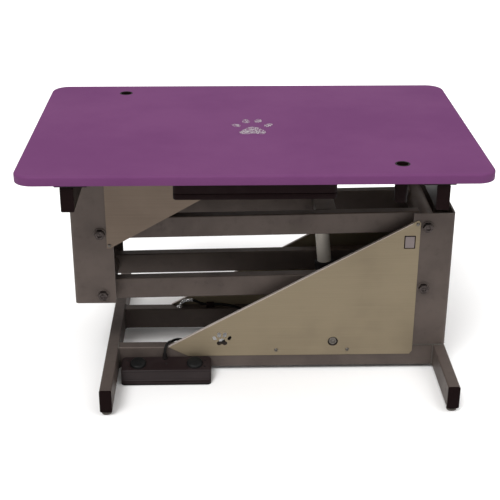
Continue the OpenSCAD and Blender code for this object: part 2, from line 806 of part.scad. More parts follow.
lift_z = pivot_z - lift_drop;
module carriage_post() {
    color("silver") difference() {
        channel(carriage_x, carriage_bottom, cross_z, 1);
        bolt_holes(lift_x, [lift_z, lift_z - pivot_gap]);
        for (side = [-1, 1]) for (s = upper_guard_screws) if (s[1] < cross_z)
            bar_y(s[0], s[1], side * face_y - 6, side * face_y + 6, screw_d + snug);
    }
}
module carriage_pivot_bolts() {
    color("gray") for (z = [lift_z, lift_z - pivot_gap])
        through_bolt(lift_x, z, face_y, bolt_d, head_af, washer_d);
}
module cross_tube(x) {
    color("#161616") translate([x, 0, cross_z + tube_h / 2])
        tube_y(cross_l - 2 * cap_t, tube_w, tube_h);
}
module cross_tube_left() cross_tube(-cross_x);
module cross_tube_right() cross_tube(cross_x);
module cross_caps() {
    color("#101010") for (x = [-cross_x, cross_x]) {
        end_cap(x, cross_z + tube_h / 2, -cross_l / 2, -1);
        end_cap(x, cross_z + tube_h / 2, cross_l / 2, 1);
    }
}
plate_screw_x = plate_in_x + 9;
plate_screw_gap = 140;
plate_screw_y = [for (k = [-1.5 : 1 : 1.5]) k * plate_screw_gap];
box_y0 = -face_y - box_gap - box_d;
tab_l = 16;
tab_screws = [for (sx = [-1, 1], ky = [0.2, 0.8])
    [sx * (box_l / 2 + tab_l / 2), box_y0 + ky * box_d]];
module mounting_plates() {
    color("#161616") for (side = [-1, 1]) difference() {
        translate([side < 0 ? -plate_in_x - plate_w : plate_in_x, -cross_l / 2, cross_z + tube_h])
            cube([plate_w, cross_l, plate_t]);
        for (y = plate_screw_y) translate([side * plate_screw_x, y, cross_z])
            cylinder(d = screw_d + snug, h = tube_h + 2 * plate_t);
    }
}
module top_rail(side) {
    color("silver") difference() {
        translate([-cross_x + tube_w / 2, side * (face_y - tube_w / 2), rail_z + tube_h / 2])
            tube_x(2 * cross_x - tube_w, tube_w, tube_h);
        for (s = upper_guard_screws) if (s[1] > cross_z)
            bar_y(s[0], s[1], side * face_y - 6, side * face_y + 6, screw_d + snug);
    }
}
module top_rail_front() top_rail(-1);
module top_rail_rear() top_rail(1);

module upper_guard_outline() {
    toe = upper_guard_x + 7;
    difference() {
        polygon([
            [upper_guard_x, upper_guard_bottom], [toe, upper_guard_bottom],
            [toe + (upper_guard_top - upper_guard_bottom) / upper_guard_slope, upper_guard_top],
            [upper_guard_x, upper_guard_top]
        ]);
        for (s = upper_guard_screws) translate(s) circle(d = screw_d + snug);
    }
}
module upper_guard_front() {
    color("#8d8776") sheet_xz(-face_y - guard_t, guard_t) upper_guard_outline();
}
module upper_guard_rear() {
    color("#8d8776") sheet_xz(face_y, guard_t) upper_guard_outline();
}

// Pan head screw up into the board from the face at z
module board_screw(x, y, z, l) {
    translate([x, y, z - screw_head_h]) cylinder(d = screw_head_d, h = screw_head_h);
    translate([x, y, z - screw_head_h]) cylinder(d = screw_d, h = l + screw_head_h);
}
board_bite = 10;
tab_t = 3;
module carriage_screws() {
    color("gainsboro") {
        for (side = [-1, 1]) for (s = upper_guard_screws)
            screw_y(s[0], s[1], side * (face_y + guard_t), side, guard_t + wall + 1);
        for (side = [-1, 1]) for (y = plate_screw_y)
            board_screw(side * plate_screw_x, y, board_z - plate_t, plate_t + board_bite);
        for (t = tab_screws) board_screw(t[0], t[1], board_z - tab_t, tab_t + board_bite);
    }
}

// ---------- table top ----------

socket_y = top_d / 2 - socket_edge;
socket_x = plate_in_x - socket_gap - socket_flange / 2;
sockets = [[-socket_x, socket_y], [socket_x, -socket_y]];

// Section of a rolled edge, outwards along +X from its root
module edge_section(e, root) {
    translate([-root, 0]) square([root, e]);
    intersection() {
        circle(e);
        square(e);
    }
}

// Rounded slab with a rolled upper edge, its underside at z = 0
module rolled_slab(l, d, h, r, e) {
    root = (r - e) / 2;
    linear_extrude(h - e) rounded(l, d, r);
    translate([0, 0, h - e]) {
        linear_extrude(e) rounded(l - 2 * e, d - 2 * e, r - e);
        for (sx = [-1, 1], sy = [-1, 1]) translate([sx * (l / 2 - r), sy * (d / 2 - r), 0])
            rotate_extrude() translate([r - e, 0]) edge_section(e, root);
        for (s = [0, 180]) rotate([0, 0, s]) {
            translate([-(l / 2 - r), d / 2 - e, 0]) rotate([90, 0, 90])
                linear_extrude(l - 2 * r) edge_section(e, root);
            translate([l / 2 - e, d / 2 - r, 0]) rotate([90, 0, 0])
                linear_extrude(d - 2 * r) edge_section(e, root);
        }
    }
}
module socket_holes() {
    for (p = sockets) translate([p[0], p[1], board_z - 1]) cylinder(d = sleeve_od + snug, h = top_t + 2);
}
module table_board() {
    color("#6b5a44") difference() {
        translate([0, 0, board_z]) linear_extrude(top_t - skin_t)
            rounded(top_l - 2 * skin_t, top_d - 2 * skin_t, top_r - skin_t);
        socket_holes();
        for (side = [-1, 1]) for (y = plate_screw_y) translate([side * plate_screw_x, y, board_z - 1])
            cylinder(d = screw_d + snug, h = board_bite + 2);
        for (t = tab_screws) translate([t[0], t[1], board_z - 1])
            cylinder(d = screw_d + snug, h = board_bite + 2);
    }
}
module table_skin() {
    color("#7b4c78") difference() {
        translate([0, 0, board_z]) rolled_slab(top_l, top_d, top_t, top_r, edge_r);
        translate([0, 0, board_z - 1]) linear_extrude(top_t - skin_t + 1)
            rounded(top_l - 2 * skin_t, top_d - 2 * skin_t, top_r - skin_t);
        socket_holes();
    }
}
module arm_sockets() {
    flange_thick = 4;
    color("#141414") for (p = sockets) translate([p[0], p[1], 0]) {
        difference() {
            translate([0, 0, top_z - sleeve_l]) cylinder(d = sleeve_od, h = sleeve_l);
            translate([0, 0, top_z - sleeve_l - 1]) cylinder(d = sleeve_id, h = sleeve_l + 2);
        }
        difference() {
            translate([0, 0, board_z - flange_thick]) linear_extrude(flange_thick)
                rounded(socket_flange, socket_flange, 8);
            translate([0, 0, board_z - 2 * flange_thick])
                cylinder(d = sleeve_od + snug, h = 3 * flange_thick);
        }
    }
}

// Control box under the top: a body on two tabs and a lower cover
module box_plan(m) {
    translate([0, box_y0 + box_d / 2]) rounded(box_l - 2 * m, box_d - 2 * m, 8 - m);
}
module control_box() {
    color("#141414") difference() {
        union() {
            translate([0, 0, board_z - box_h + lid_h]) linear_extrude(box_h - lid_h) box_plan(0);
            translate([-box_l / 2 - tab_l, box_y0 + 12, board_z - tab_t])
                cube([box_l + 2 * tab_l, box_d - 24, tab_t]);
        }
        for (t = tab_screws) translate([t[0], t[1], board_z - tab_t - 1])
            cylinder(d = screw_d + snug, h = tab_t + 2);
    }
}
module control_box_lid() {
    step = 1;
    color("#1a1a1a") translate([0, 0, board_z - box_h]) {
        translate([0, 0, 2]) linear_extrude(lid_h - 2 - step) box_plan(0);
        linear_extrude(2 + eps) box_plan(2);
        linear_extrude(lid_h) box_plan(1.2);
    }
}

foot_left();
foot_right();
foot_caps();
leveler_front_left();
leveler_front_right();
leveler_rear_left();
leveler_rear_right();
beam_front();
beam_rear();
fixed_post();
lower_guard_front();
lower_guard_rear();
base_screws();
base_pivot_bolts();
actuator_brackets();
actuator_bolt();
actuator_spacers();
cable_clips();
harness_cable();
pedal_base();
pedal_cover();
pedal_switches();
pedal_gland();
pedal_cord();
cord_coil();
button_up();
button_down();
upper_arm_front();
upper_arm_rear();
upper_tube_fixed();
upper_tube_lift();
upper_bushes();
lift_yoke();
lift_pin();
lower_arm_front();
lower_arm_rear();
lower_tube_fixed();
lower_tube_lift();
lower_bushes();
piston_rod();
actuator_tube();
gear_housing();
actuator_motor();
carriage_post();
cross_tube_left();
cross_tube_right();
cross_caps();
mounting_plates();
top_rail_front();
top_rail_rear();
upper_guard_front();
upper_guard_rear();
carriage_screws();
carriage_pivot_bolts();
table_board();
table_skin();
arm_sockets();
control_box();
control_box_lid();
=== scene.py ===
"""Looks of an electric grooming table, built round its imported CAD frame.

Every length is in metres in the frame of the CAD: the origin is on the floor
under the middle of the top, +X runs to the fixed post, -Y to the operator and
+Z up.
"""

from __future__ import annotations

import json
import logging
import math
from dataclasses import dataclass
from enum import Enum
from typing import Callable, Sequence

import bmesh
import bpy
from mathutils import Matrix, Vector

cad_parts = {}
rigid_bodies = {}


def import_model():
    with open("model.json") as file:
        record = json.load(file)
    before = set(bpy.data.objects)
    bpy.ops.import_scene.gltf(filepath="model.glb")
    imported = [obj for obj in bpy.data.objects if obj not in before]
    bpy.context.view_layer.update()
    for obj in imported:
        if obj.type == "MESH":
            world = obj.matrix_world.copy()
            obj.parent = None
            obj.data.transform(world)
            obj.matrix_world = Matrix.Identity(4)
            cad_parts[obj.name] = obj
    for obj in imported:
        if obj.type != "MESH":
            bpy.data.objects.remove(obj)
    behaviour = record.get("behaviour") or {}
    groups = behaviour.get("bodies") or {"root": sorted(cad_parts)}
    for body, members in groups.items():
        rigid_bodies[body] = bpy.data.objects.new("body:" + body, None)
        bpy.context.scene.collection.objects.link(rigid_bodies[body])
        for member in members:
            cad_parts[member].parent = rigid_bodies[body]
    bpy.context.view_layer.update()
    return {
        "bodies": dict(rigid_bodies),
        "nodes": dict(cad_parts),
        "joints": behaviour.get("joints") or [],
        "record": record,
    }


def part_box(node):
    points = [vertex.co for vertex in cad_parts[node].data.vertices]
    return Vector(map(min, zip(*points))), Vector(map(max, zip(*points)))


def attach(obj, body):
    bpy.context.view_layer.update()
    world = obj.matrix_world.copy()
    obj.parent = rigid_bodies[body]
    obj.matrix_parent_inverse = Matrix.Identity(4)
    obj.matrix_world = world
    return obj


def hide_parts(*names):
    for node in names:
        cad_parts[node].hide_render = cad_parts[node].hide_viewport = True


log = logging.getLogger("grooming_table")

MM = 0.001
Colour = tuple[float, float, float, float]
Point = tuple[float, float, float]
Pair = tuple[float, float]
Piece = bpy.types.Object
Runs = list[tuple[list[Point], float]]
Seam = tuple[float, float, float, float]

# Depths that several sub-assemblies share
FACE_Y = 0.1035
PLATE_IN = 0.0993
GUARD_T = 0.0015
BOARD_Z = 0.518
TOP_Z = 0.537
FOOT_TOP = 0.0602
FIXED_PIVOT = (0.370, 0.344)
LIFT_PIVOT = (-0.32152, 0.3335)
PIVOT_GAP = 0.143

# Cosine past which two directions count as one, and the angle of a sharp edge
NEARLY = 0.9
SHARP = math.radians(35)


def rgb(red: float, green: float, blue: float) -> Colour:
    """A scene colour from its three parts, opaque."""
    return (red, green, blue, 1.0)


# ---------------------------------------------------------------- shaders


class Value:
    """A shader socket with arithmetic, so that maths on masks reads as maths."""

    def __init__(self, shader: "Shader", socket: bpy.types.NodeSocket) -> None:
        """Keeps the socket and the shader that it belongs to."""
        self.shader = shader
        self.socket = socket

    def _maths(self, operation: str, *others: "Value | float") -> "Value":
        """Adds a Math node on this value and others."""
        inputs = {0: self, **{i + 1: other for i, other in enumerate(others)}}
        return self.shader.node("ShaderNodeMath", {"operation": operation}, inputs)

    def __add__(self, other: "Value | float") -> "Value":
        """Sum."""
        return self._maths("ADD", other)

    __radd__ = __add__

    def __mul__(self, other: "Value | float") -> "Value":
        """Product."""
        return self._maths("MULTIPLY", other)

    __rmul__ = __mul__

    def __sub__(self, other: "Value | float") -> "Value":
        """Difference."""
        return self._maths("SUBTRACT", other)

    def __rsub__(self, other: float) -> "Value":
        """Difference from a number."""
        return self._maths("MULTIPLY", -1.0)._maths("ADD", other)

    def eased(self, low: float, high: float, start: float = 0.0, end: float = 1.0) -> "Value":
        """This value taken smoothly from low..high to start..end."""
        settings = {"interpolation_type": "SMOOTHSTEP", "clamp": True}
        inputs = {0: self, 1: low, 2: high, 3: start, 4: end}
        return self.shader.node("ShaderNodeMapRange", settings, inputs)


Input = Value | float | Sequence[float]


class Shader:
    """One material and its nodes."""

    def __init__(self, name: str) -> None:
        """Starts an empty node material of that name."""
        self.material = bpy.data.materials.new(name)
        self.material.use_nodes = True
        self.tree = self.material.node_tree
        self.tree.nodes.clear()

    def node(
        self,
        kind: str,
        settings: dict[str, object] | None = None,
        inputs: dict[int | str, Input] | None = None,
        out: int = 0,
    ) -> Value:
        """Adds a node.

        Args:
            kind: The node's type.
            settings: Its own settings, such as a Math node's operation.
            inputs: Values or links of its sockets, by name or number.
            out: Which output is wanted.

        Returns:
            That output.
        """
        made = self.tree.nodes.new(kind)
        for key, value in (settings or {}).items():
            setattr(made, key, value)
        for key, value in (inputs or {}).items():
            if isinstance(value, Value):
                self.tree.links.new(value.socket, made.inputs[key])
            else:
                made.inputs[key].default_value = value
        return Value(self, made.outputs[out])

    def place(self, scale: Point = (1, 1, 1), turn: Point = (0, 0, 0)) -> Value:
        """Object coordinates, stretched and turned by a Mapping node."""
        inputs = {"Vector": self.node("ShaderNodeTexCoord", out=3), "Rotation": turn, "Scale": scale}
        return self.node("ShaderNodeMapping", {"vector_type": "POINT"}, inputs)

    def noise(self, vector: Value, scale: float, detail: float = 3.0, rough: float = 0.5) -> Value:
        """Noise from 0 to 1."""
        inputs = {"Vector": vector, "Scale": scale, "Detail": detail, "Roughness": rough}
        return self.node("ShaderNodeTexNoise", {"noise_dimensions": "3D"}, inputs)

    def cells(self, vector: Value, scale: float) -> Value:
        """Distance to the nearest cell's middle."""
        return self.node("ShaderNodeTexVoronoi", {"feature": "F1"}, {"Vector": vector, "Scale": scale})

    def mix(self, mask: Value | float, low: Value | Colour, high: Value | Colour) -> Value:
        """Colour from low to high by a mask."""
        return self.node("ShaderNodeMix", {"data_type": "RGBA"}, {0: mask, 6: low, 7: high}, out=2)

    def bump(self, height: Value, depth: float, strength: float) -> Value:
        """A bumped normal, of that depth in metres."""
        return self.node(
            "ShaderNodeBump", {}, {"Height": height, "Distance": depth, "Strength": strength}
        )

    def surface(self, **sockets: Input) -> bpy.types.Material:
        """Closes the material with a Principled surface.

        Args:
            **sockets: Socket names with _ for each space, and their values.

        Returns:
            The finished material.
        """
        inputs = {key.replace("_", " "): value for key, value in sockets.items()}
        body = self.node("ShaderNodeBsdfPrincipled", {}, inputs)
        end = self.tree.nodes.new("ShaderNodeOutputMaterial")
        self.tree.links.new(body.socket, end.inputs["Surface"])
        return self.material


# ---------------------------------------------------------------- finishes


@dataclass(frozen=True)
class BrushedSheet:
    """Stainless sheet with a long brushed grain and faint handling marks."""

    name: str = "brushed_sheet"
    colour: Colour = rgb(0.225, 0.183, 0.122)
    dull: Colour = rgb(0.190, 0.154, 0.104)
    metal: float = 0.55
    rough: float = 0.46
    gloss: float = 0.25

    def make(self) -> bpy.types.Material:
        """Builds the material."""
        s = Shader(self.name)
        grain = s.noise(s.place((6, 40, 900)), 1.0, 4, 0.7)
        fine = s.noise(s.place((18, 60, 2600)), 1.0, 2, 0.5)
        marks = s.noise(s.place((7, 7, 7)), 1.0, 3, 0.55).eased(0.45, 0.75)
        tint = s.mix(grain.eased(0.3, 0.7) * 0.35 + marks * 0.5, self.colour, self.dull)
        rough = grain.eased(0.3, 0.7, self.rough - 0.05, self.rough + 0.07) + marks * 0.08
        normal = s.bump(grain + fine * 0.5, 0.00006, 0.7)
        return s.surface(
            Base_Color=tint, Metallic=self.metal, Roughness=rough,
            Specular_IOR_Level=self.gloss, Normal=normal
        )


@dataclass(frozen=True)
class SprayedCoat:
    """Sprayed paint on steel: faint orange peel, cloudy tone, rubbed edges."""

    name: str
    colour: Colour
    shade: Colour
    bare: Colour
    metal: float = 0.3
    rough: float = 0.5
    peel: float = 0.00005
    wear: float = 0.5
    gloss: float = 0.16

    def make(self) -> bpy.types.Material:
        """Builds the material."""
        s = Shader(self.name)
        at = s.place()
        cloud = s.noise(at, 9.0, 4, 0.6)
        grime = s.noise(at, 60.0, 3, 0.6).eased(0.52, 0.8)
        peel = s.noise(at, 620.0, 2, 0.5)
        flakes = s.noise(at, 2600.0, 1, 0.5)
        soft = s.node("ShaderNodeBevel", {"samples": 4}, {"Radius": 0.0014})
        true = s.node("ShaderNodeNewGeometry", out=1)
        along = s.node("ShaderNodeVectorMath", {"operation": "DOT_PRODUCT"}, {0: soft, 1: true}, out=1)
        edge = (1.0 - along).eased(0.02, 0.16)
        worn = (edge * s.noise(at, 75.0, 4, 0.65).eased(0.42, 0.6)) * self.wear
        tone = s.mix(cloud.eased(0.35, 0.7) * 0.6 + grime * 0.35, self.colour, self.shade)
        tone = s.mix(worn, tone, self.bare)
        rough = cloud.eased(0.3, 0.7, self.rough - 0.05, self.rough + 0.06) + grime * 0.1 - worn * 0.15
        normal = s.bump(peel + flakes * 0.15, self.peel, 0.8)
        return s.surface(
            Base_Color=tone, Metallic=worn * 0.5 + self.metal, Roughness=rough,
            Specular_IOR_Level=self.gloss, Normal=normal,
        )


@dataclass(frozen=True)
class PlatedMetal:
    """Turned or plated metal with a mottled bloom."""

    name: str
    colour: Colour
    bloom: Colour
    rough: float = 0.3
    grain: float = 260.0

    def make(self) -> bpy.types.Material:
        """Builds the material."""
        s = Shader(self.name)
        at = s.place()
        bloom = s.noise(at, self.grain, 4, 0.6)
        lines = s.noise(s.place((1400, 1400, 1400)), 1.0, 2, 0.5)
        tone = s.mix(bloom.eased(0.35, 0.7), self.colour, self.bloom)
        rough = bloom.eased(0.3, 0.75, self.rough - 0.06, self.rough + 0.12)
        return s.surface(
            Base_Color=tone, Metallic=1.0, Roughness=rough, Normal=s.bump(lines, 0.00001, 0.5)
        )


@dataclass(frozen=True)
class MouldedPlastic:
    """Moulded plastic or rubber with a fine sparked grain and some dust."""

    name: str
    colour: Colour
    dust: Colour
    rough: float = 0.45
    grain: float = 900.0
    depth: float = 0.00008
    gloss: float = 0.06

    def make(self) -> bpy.types.Material:
        """Builds the material."""
        s = Shader(self.name)
        at = s.place()
        pits = s.cells(at, self.grain)
        broad = s.noise(at, 22.0, 4, 0.6)
        motes = s.noise(at, 420.0, 2, 0.6).eased(0.62, 0.74)
        tone = s.mix(broad.eased(0.4, 0.75) * 0.35 + motes * 0.2, self.colour, self.dust)
        rough = broad.eased(0.3, 0.7, self.rough - 0.05, self.rough + 0.1)
        normal = s.bump(pits, self.depth, 0.5)
        return s.surface(Base_Color=tone, Roughness=rough, Specular_IOR_Level=self.gloss, Normal=normal)


@dataclass(frozen=True)
class TopSheet:
    """Coloured non-slip sheet of the table top, with a pebbled face."""

    name: str = "purple_sheet"
    colour: Colour = rgb(0.120, 0.0365, 0.1125)
    shade: Colour = rgb(0.107, 0.0315, 0.1020)
    scuff: Colour = rgb(0.14, 0.055, 0.13)
    rough: float = 0.60
    gloss: float = 0.08

    def make(self) -> bpy.types.Material:
        """Builds the material."""
        s = Shader(self.name)
        at = s.place()
        pebbles = s.cells(at, 420.0)
        pores = s.noise(at, 1500.0, 2, 0.5)
        cloud = s.noise(at, 5.0, 4, 0.55)
        scuffs = s.noise(s.place((14, 90, 60), (0, 0, 0.5)), 1.0, 5, 0.7).eased(0.66, 0.78)
        tone = s.mix(cloud.eased(0.3, 0.7), self.colour, self.shade)
        # Darker between the pebbles: painted shade in the crevices of the pebbled face
        tone = s.mix(pebbles.eased(0.35, 0.8) * 0.25, tone, self.shade)
        tone = s.mix(scuffs * 0.22, tone, self.scuff)
        rough = cloud.eased(0.3, 0.7, self.rough - 0.04, self.rough + 0.06) + scuffs * 0.08
        normal = s.bump(pebbles * -1.0 + pores * 0.25, 0.00022, 0.55)
        return s.surface(Base_Color=tone, Roughness=rough, Specular_IOR_Level=self.gloss, Normal=normal)


@dataclass(frozen=True)
class PrintedPaw:
    """Silver print broken into small specks over the sheet below it."""

    name: str = "silver_print"
    silver: Colour = rgb(0.58, 0.57, 0.56)
    below: Colour = rgb(0.120, 0.0365, 0.1125)
    cover: float = 0.5

    def make(self) -> bpy.types.Material:
        """Builds the material."""
        s = Shader(self.name)
        at = s.place()
        specks = s.cells(at, 480.0)
        broken = s.noise(at, 160.0, 3, 0.7)
        mask = (specks + broken * 0.5).eased(self.cover + 0.28, self.cover + 0.12)
        tone = s.mix(mask, self.below, self.silver)
        return s.surface(
            Base_Color=tone,
            Metallic=mask * 0.45,
            Roughness=0.5 - mask * 0.12,
            Alpha=mask,
            Normal=s.bump(mask, 0.00012, 0.6),
        )


@dataclass(frozen=True)
class RawBoard:
    """Dense ply under the sheet: long grain, darker growth lines, dust."""

    name: str = "raw_board"
    pale: Colour = rgb(0.30, 0.205, 0.125)
    dark: Colour = rgb(0.165, 0.105, 0.06)

    def make(self) -> bpy.types.Material:
        """Builds the material."""
        s = Shader(self.name)
        warp = s.noise(s.place((2.5, 14, 14)), 1.0, 3, 0.5)
        rings = s.node(
            "ShaderNodeTexWave",
            {"wave_type": "BANDS", "bands_direction": "Y"},
            {"Vector": s.place((1.2, 9, 9)), "Scale": 3.0, "Distortion": 9.0, "Detail": 3.0},
        )
        fibre = s.noise(s.place((30, 900, 900)), 1.0, 3, 0.6)
        tone = s.mix(rings * 0.6 + warp * 0.3 + fibre * 0.25, self.pale, self.dark)
        normal = s.bump(fibre + rings * 0.4, 0.00012, 0.6)
        return s.surface(Base_Color=tone, Roughness=0.72, Normal=normal)


Recipe = BrushedSheet | SprayedCoat | PlatedMetal | MouldedPlastic | TopSheet | PrintedPaw | RawBoard


class Finish(Enum):
    """Each finish of the table, by the record's material slot."""

    STAINLESS = "stainless_sheet"
    SILVER = "silver_paint"
    BLACK_PAINT = "black_paint"
    ZINC = "zinc"
    CHROME = "chrome"
    BRONZE = "bronze"
    BLACK_PLASTIC = "black_plastic"
    CAP = "cap_plastic"
    RUBBER = "rubber"
    BOARD = "board"
    PURPLE = "purple_skin"
    TUBE = "tube_paint"
    CASE = "coil_case"

    @property
    def slot(self) -> str:
        """The record's slot name."""
        return self.value


RECIPES = {
    Finish.STAINLESS: BrushedSheet(),
    Finish.SILVER: SprayedCoat(
        "silver_coat", rgb(0.092, 0.073, 0.064), rgb(0.062, 0.049, 0.044), rgb(0.24, 0.23, 0.21)
    ),
    Finish.BLACK_PAINT: SprayedCoat(
        "black_coat", rgb(0.009, 0.007, 0.007), rgb(0.016, 0.012, 0.012), rgb(0.10, 0.095, 0.09),
        metal=0.0, rough=0.42, wear=0.25, gloss=0.07,
    ),
    Finish.ZINC: PlatedMetal("bright_zinc", rgb(0.17, 0.155, 0.14), rgb(0.095, 0.085, 0.075), 0.36),
    Finish.CHROME: PlatedMetal("hard_chrome", rgb(0.80, 0.80, 0.80), rgb(0.70, 0.70, 0.70), 0.12),
    Finish.BRONZE: PlatedMetal("oiled_bronze", rgb(0.52, 0.34, 0.14), rgb(0.34, 0.22, 0.10), 0.36),
    Finish.BLACK_PLASTIC: MouldedPlastic(
        "grained_black", rgb(0.0078, 0.0030, 0.0034), rgb(0.017, 0.012, 0.012), gloss=0.04
    ),
    Finish.CAP: MouldedPlastic(
        "cap_black", rgb(0.0066, 0.0029, 0.0030), rgb(0.014, 0.010, 0.010), 0.5, 1200.0, 0.00004, 0.03
    ),
    Finish.RUBBER: MouldedPlastic(
        "matt_rubber", rgb(0.008, 0.0065, 0.0065), rgb(0.028, 0.024, 0.023), 0.62, 1500.0, 0.00004
    ),
    Finish.BOARD: RawBoard(),
    Finish.PURPLE: TopSheet(),
    Finish.TUBE: SprayedCoat(
        "pale_coat", rgb(0.58, 0.54, 0.48), rgb(0.47, 0.43, 0.38), rgb(0.62, 0.60, 0.56),
        metal=0.1, rough=0.38, peel=0.00003, wear=0.2,
    ),
    Finish.CASE: MouldedPlastic(
        "case_black", rgb(0.012, 0.010, 0.010), rgb(0.03, 0.027, 0.026), 0.5, 700.0
    ),
}

NODE_FINISH: dict[Finish, str] = {
    Finish.STAINLESS: "lower_guard_front lower_guard_rear upper_guard_front upper_guard_rear",
    Finish.SILVER: "foot_left foot_right beam_front beam_rear fixed_post actuator_brackets "
    "actuator_spacers upper_arm_front upper_arm_rear upper_tube_fixed upper_tube_lift lift_yoke "
    "lower_arm_front lower_arm_rear lower_tube_fixed lower_tube_lift carriage_post "
    "top_rail_front top_rail_rear",
    Finish.BLACK_PAINT: "cross_tube_left cross_tube_right mounting_plates",
    Finish.ZINC: "base_screws base_pivot_bolts actuator_bolt lift_pin carriage_screws "
    "carriage_pivot_bolts leveler_front_left leveler_front_right leveler_rear_left leveler_rear_right",
    Finish.CHROME: "piston_rod",
    Finish.BRONZE: "upper_bushes lower_bushes",
    Finish.BLACK_PLASTIC: "cable_clips pedal_cover pedal_switches button_up button_down "
    "control_box control_box_lid",
    Finish.CAP: "foot_caps cross_caps arm_sockets",
    Finish.RUBBER: "pedal_base pedal_gland pedal_cord cord_coil harness_cable",
    Finish.BOARD: "table_board",
    Finish.PURPLE: "table_skin",
    Finish.TUBE: "actuator_tube",
    Finish.CASE: "gear_housing actuator_motor",
}


class Paintbox:
    """Makes each finish once, when it is first wanted."""

    def __init__(self) -> None:
        """Starts empty."""
        self._made: dict[str, bpy.types.Material] = {}

    def of(self, finish: Finish) -> bpy.types.Material:
        """The material of a finish."""
        return self.special(RECIPES[finish])

    def special(self, recipe: Recipe) -> bpy.types.Material:
        """The material of a recipe."""
        if recipe.name not in self._made:
            self._made[recipe.name] = recipe.make()
        return self._made[recipe.name]


# ---------------------------------------------------------------- bench


Test = Callable[[Vector, Vector], bool]


def along(axis: int) -> Test:
    """A test for edges that run along an axis, or faces that look along it."""
    return lambda middle, way: abs(way[axis]) > NEARLY


def above(height: float) -> Test:
    """A test for edges above a height."""
    return lambda middle, way: middle.z > height


def below(height: float) -> Test:
    """A test for edges below a height."""
    return lambda middle, way: middle.z < height


ALONG_Y, ALONG_Z = along(1), along(2)


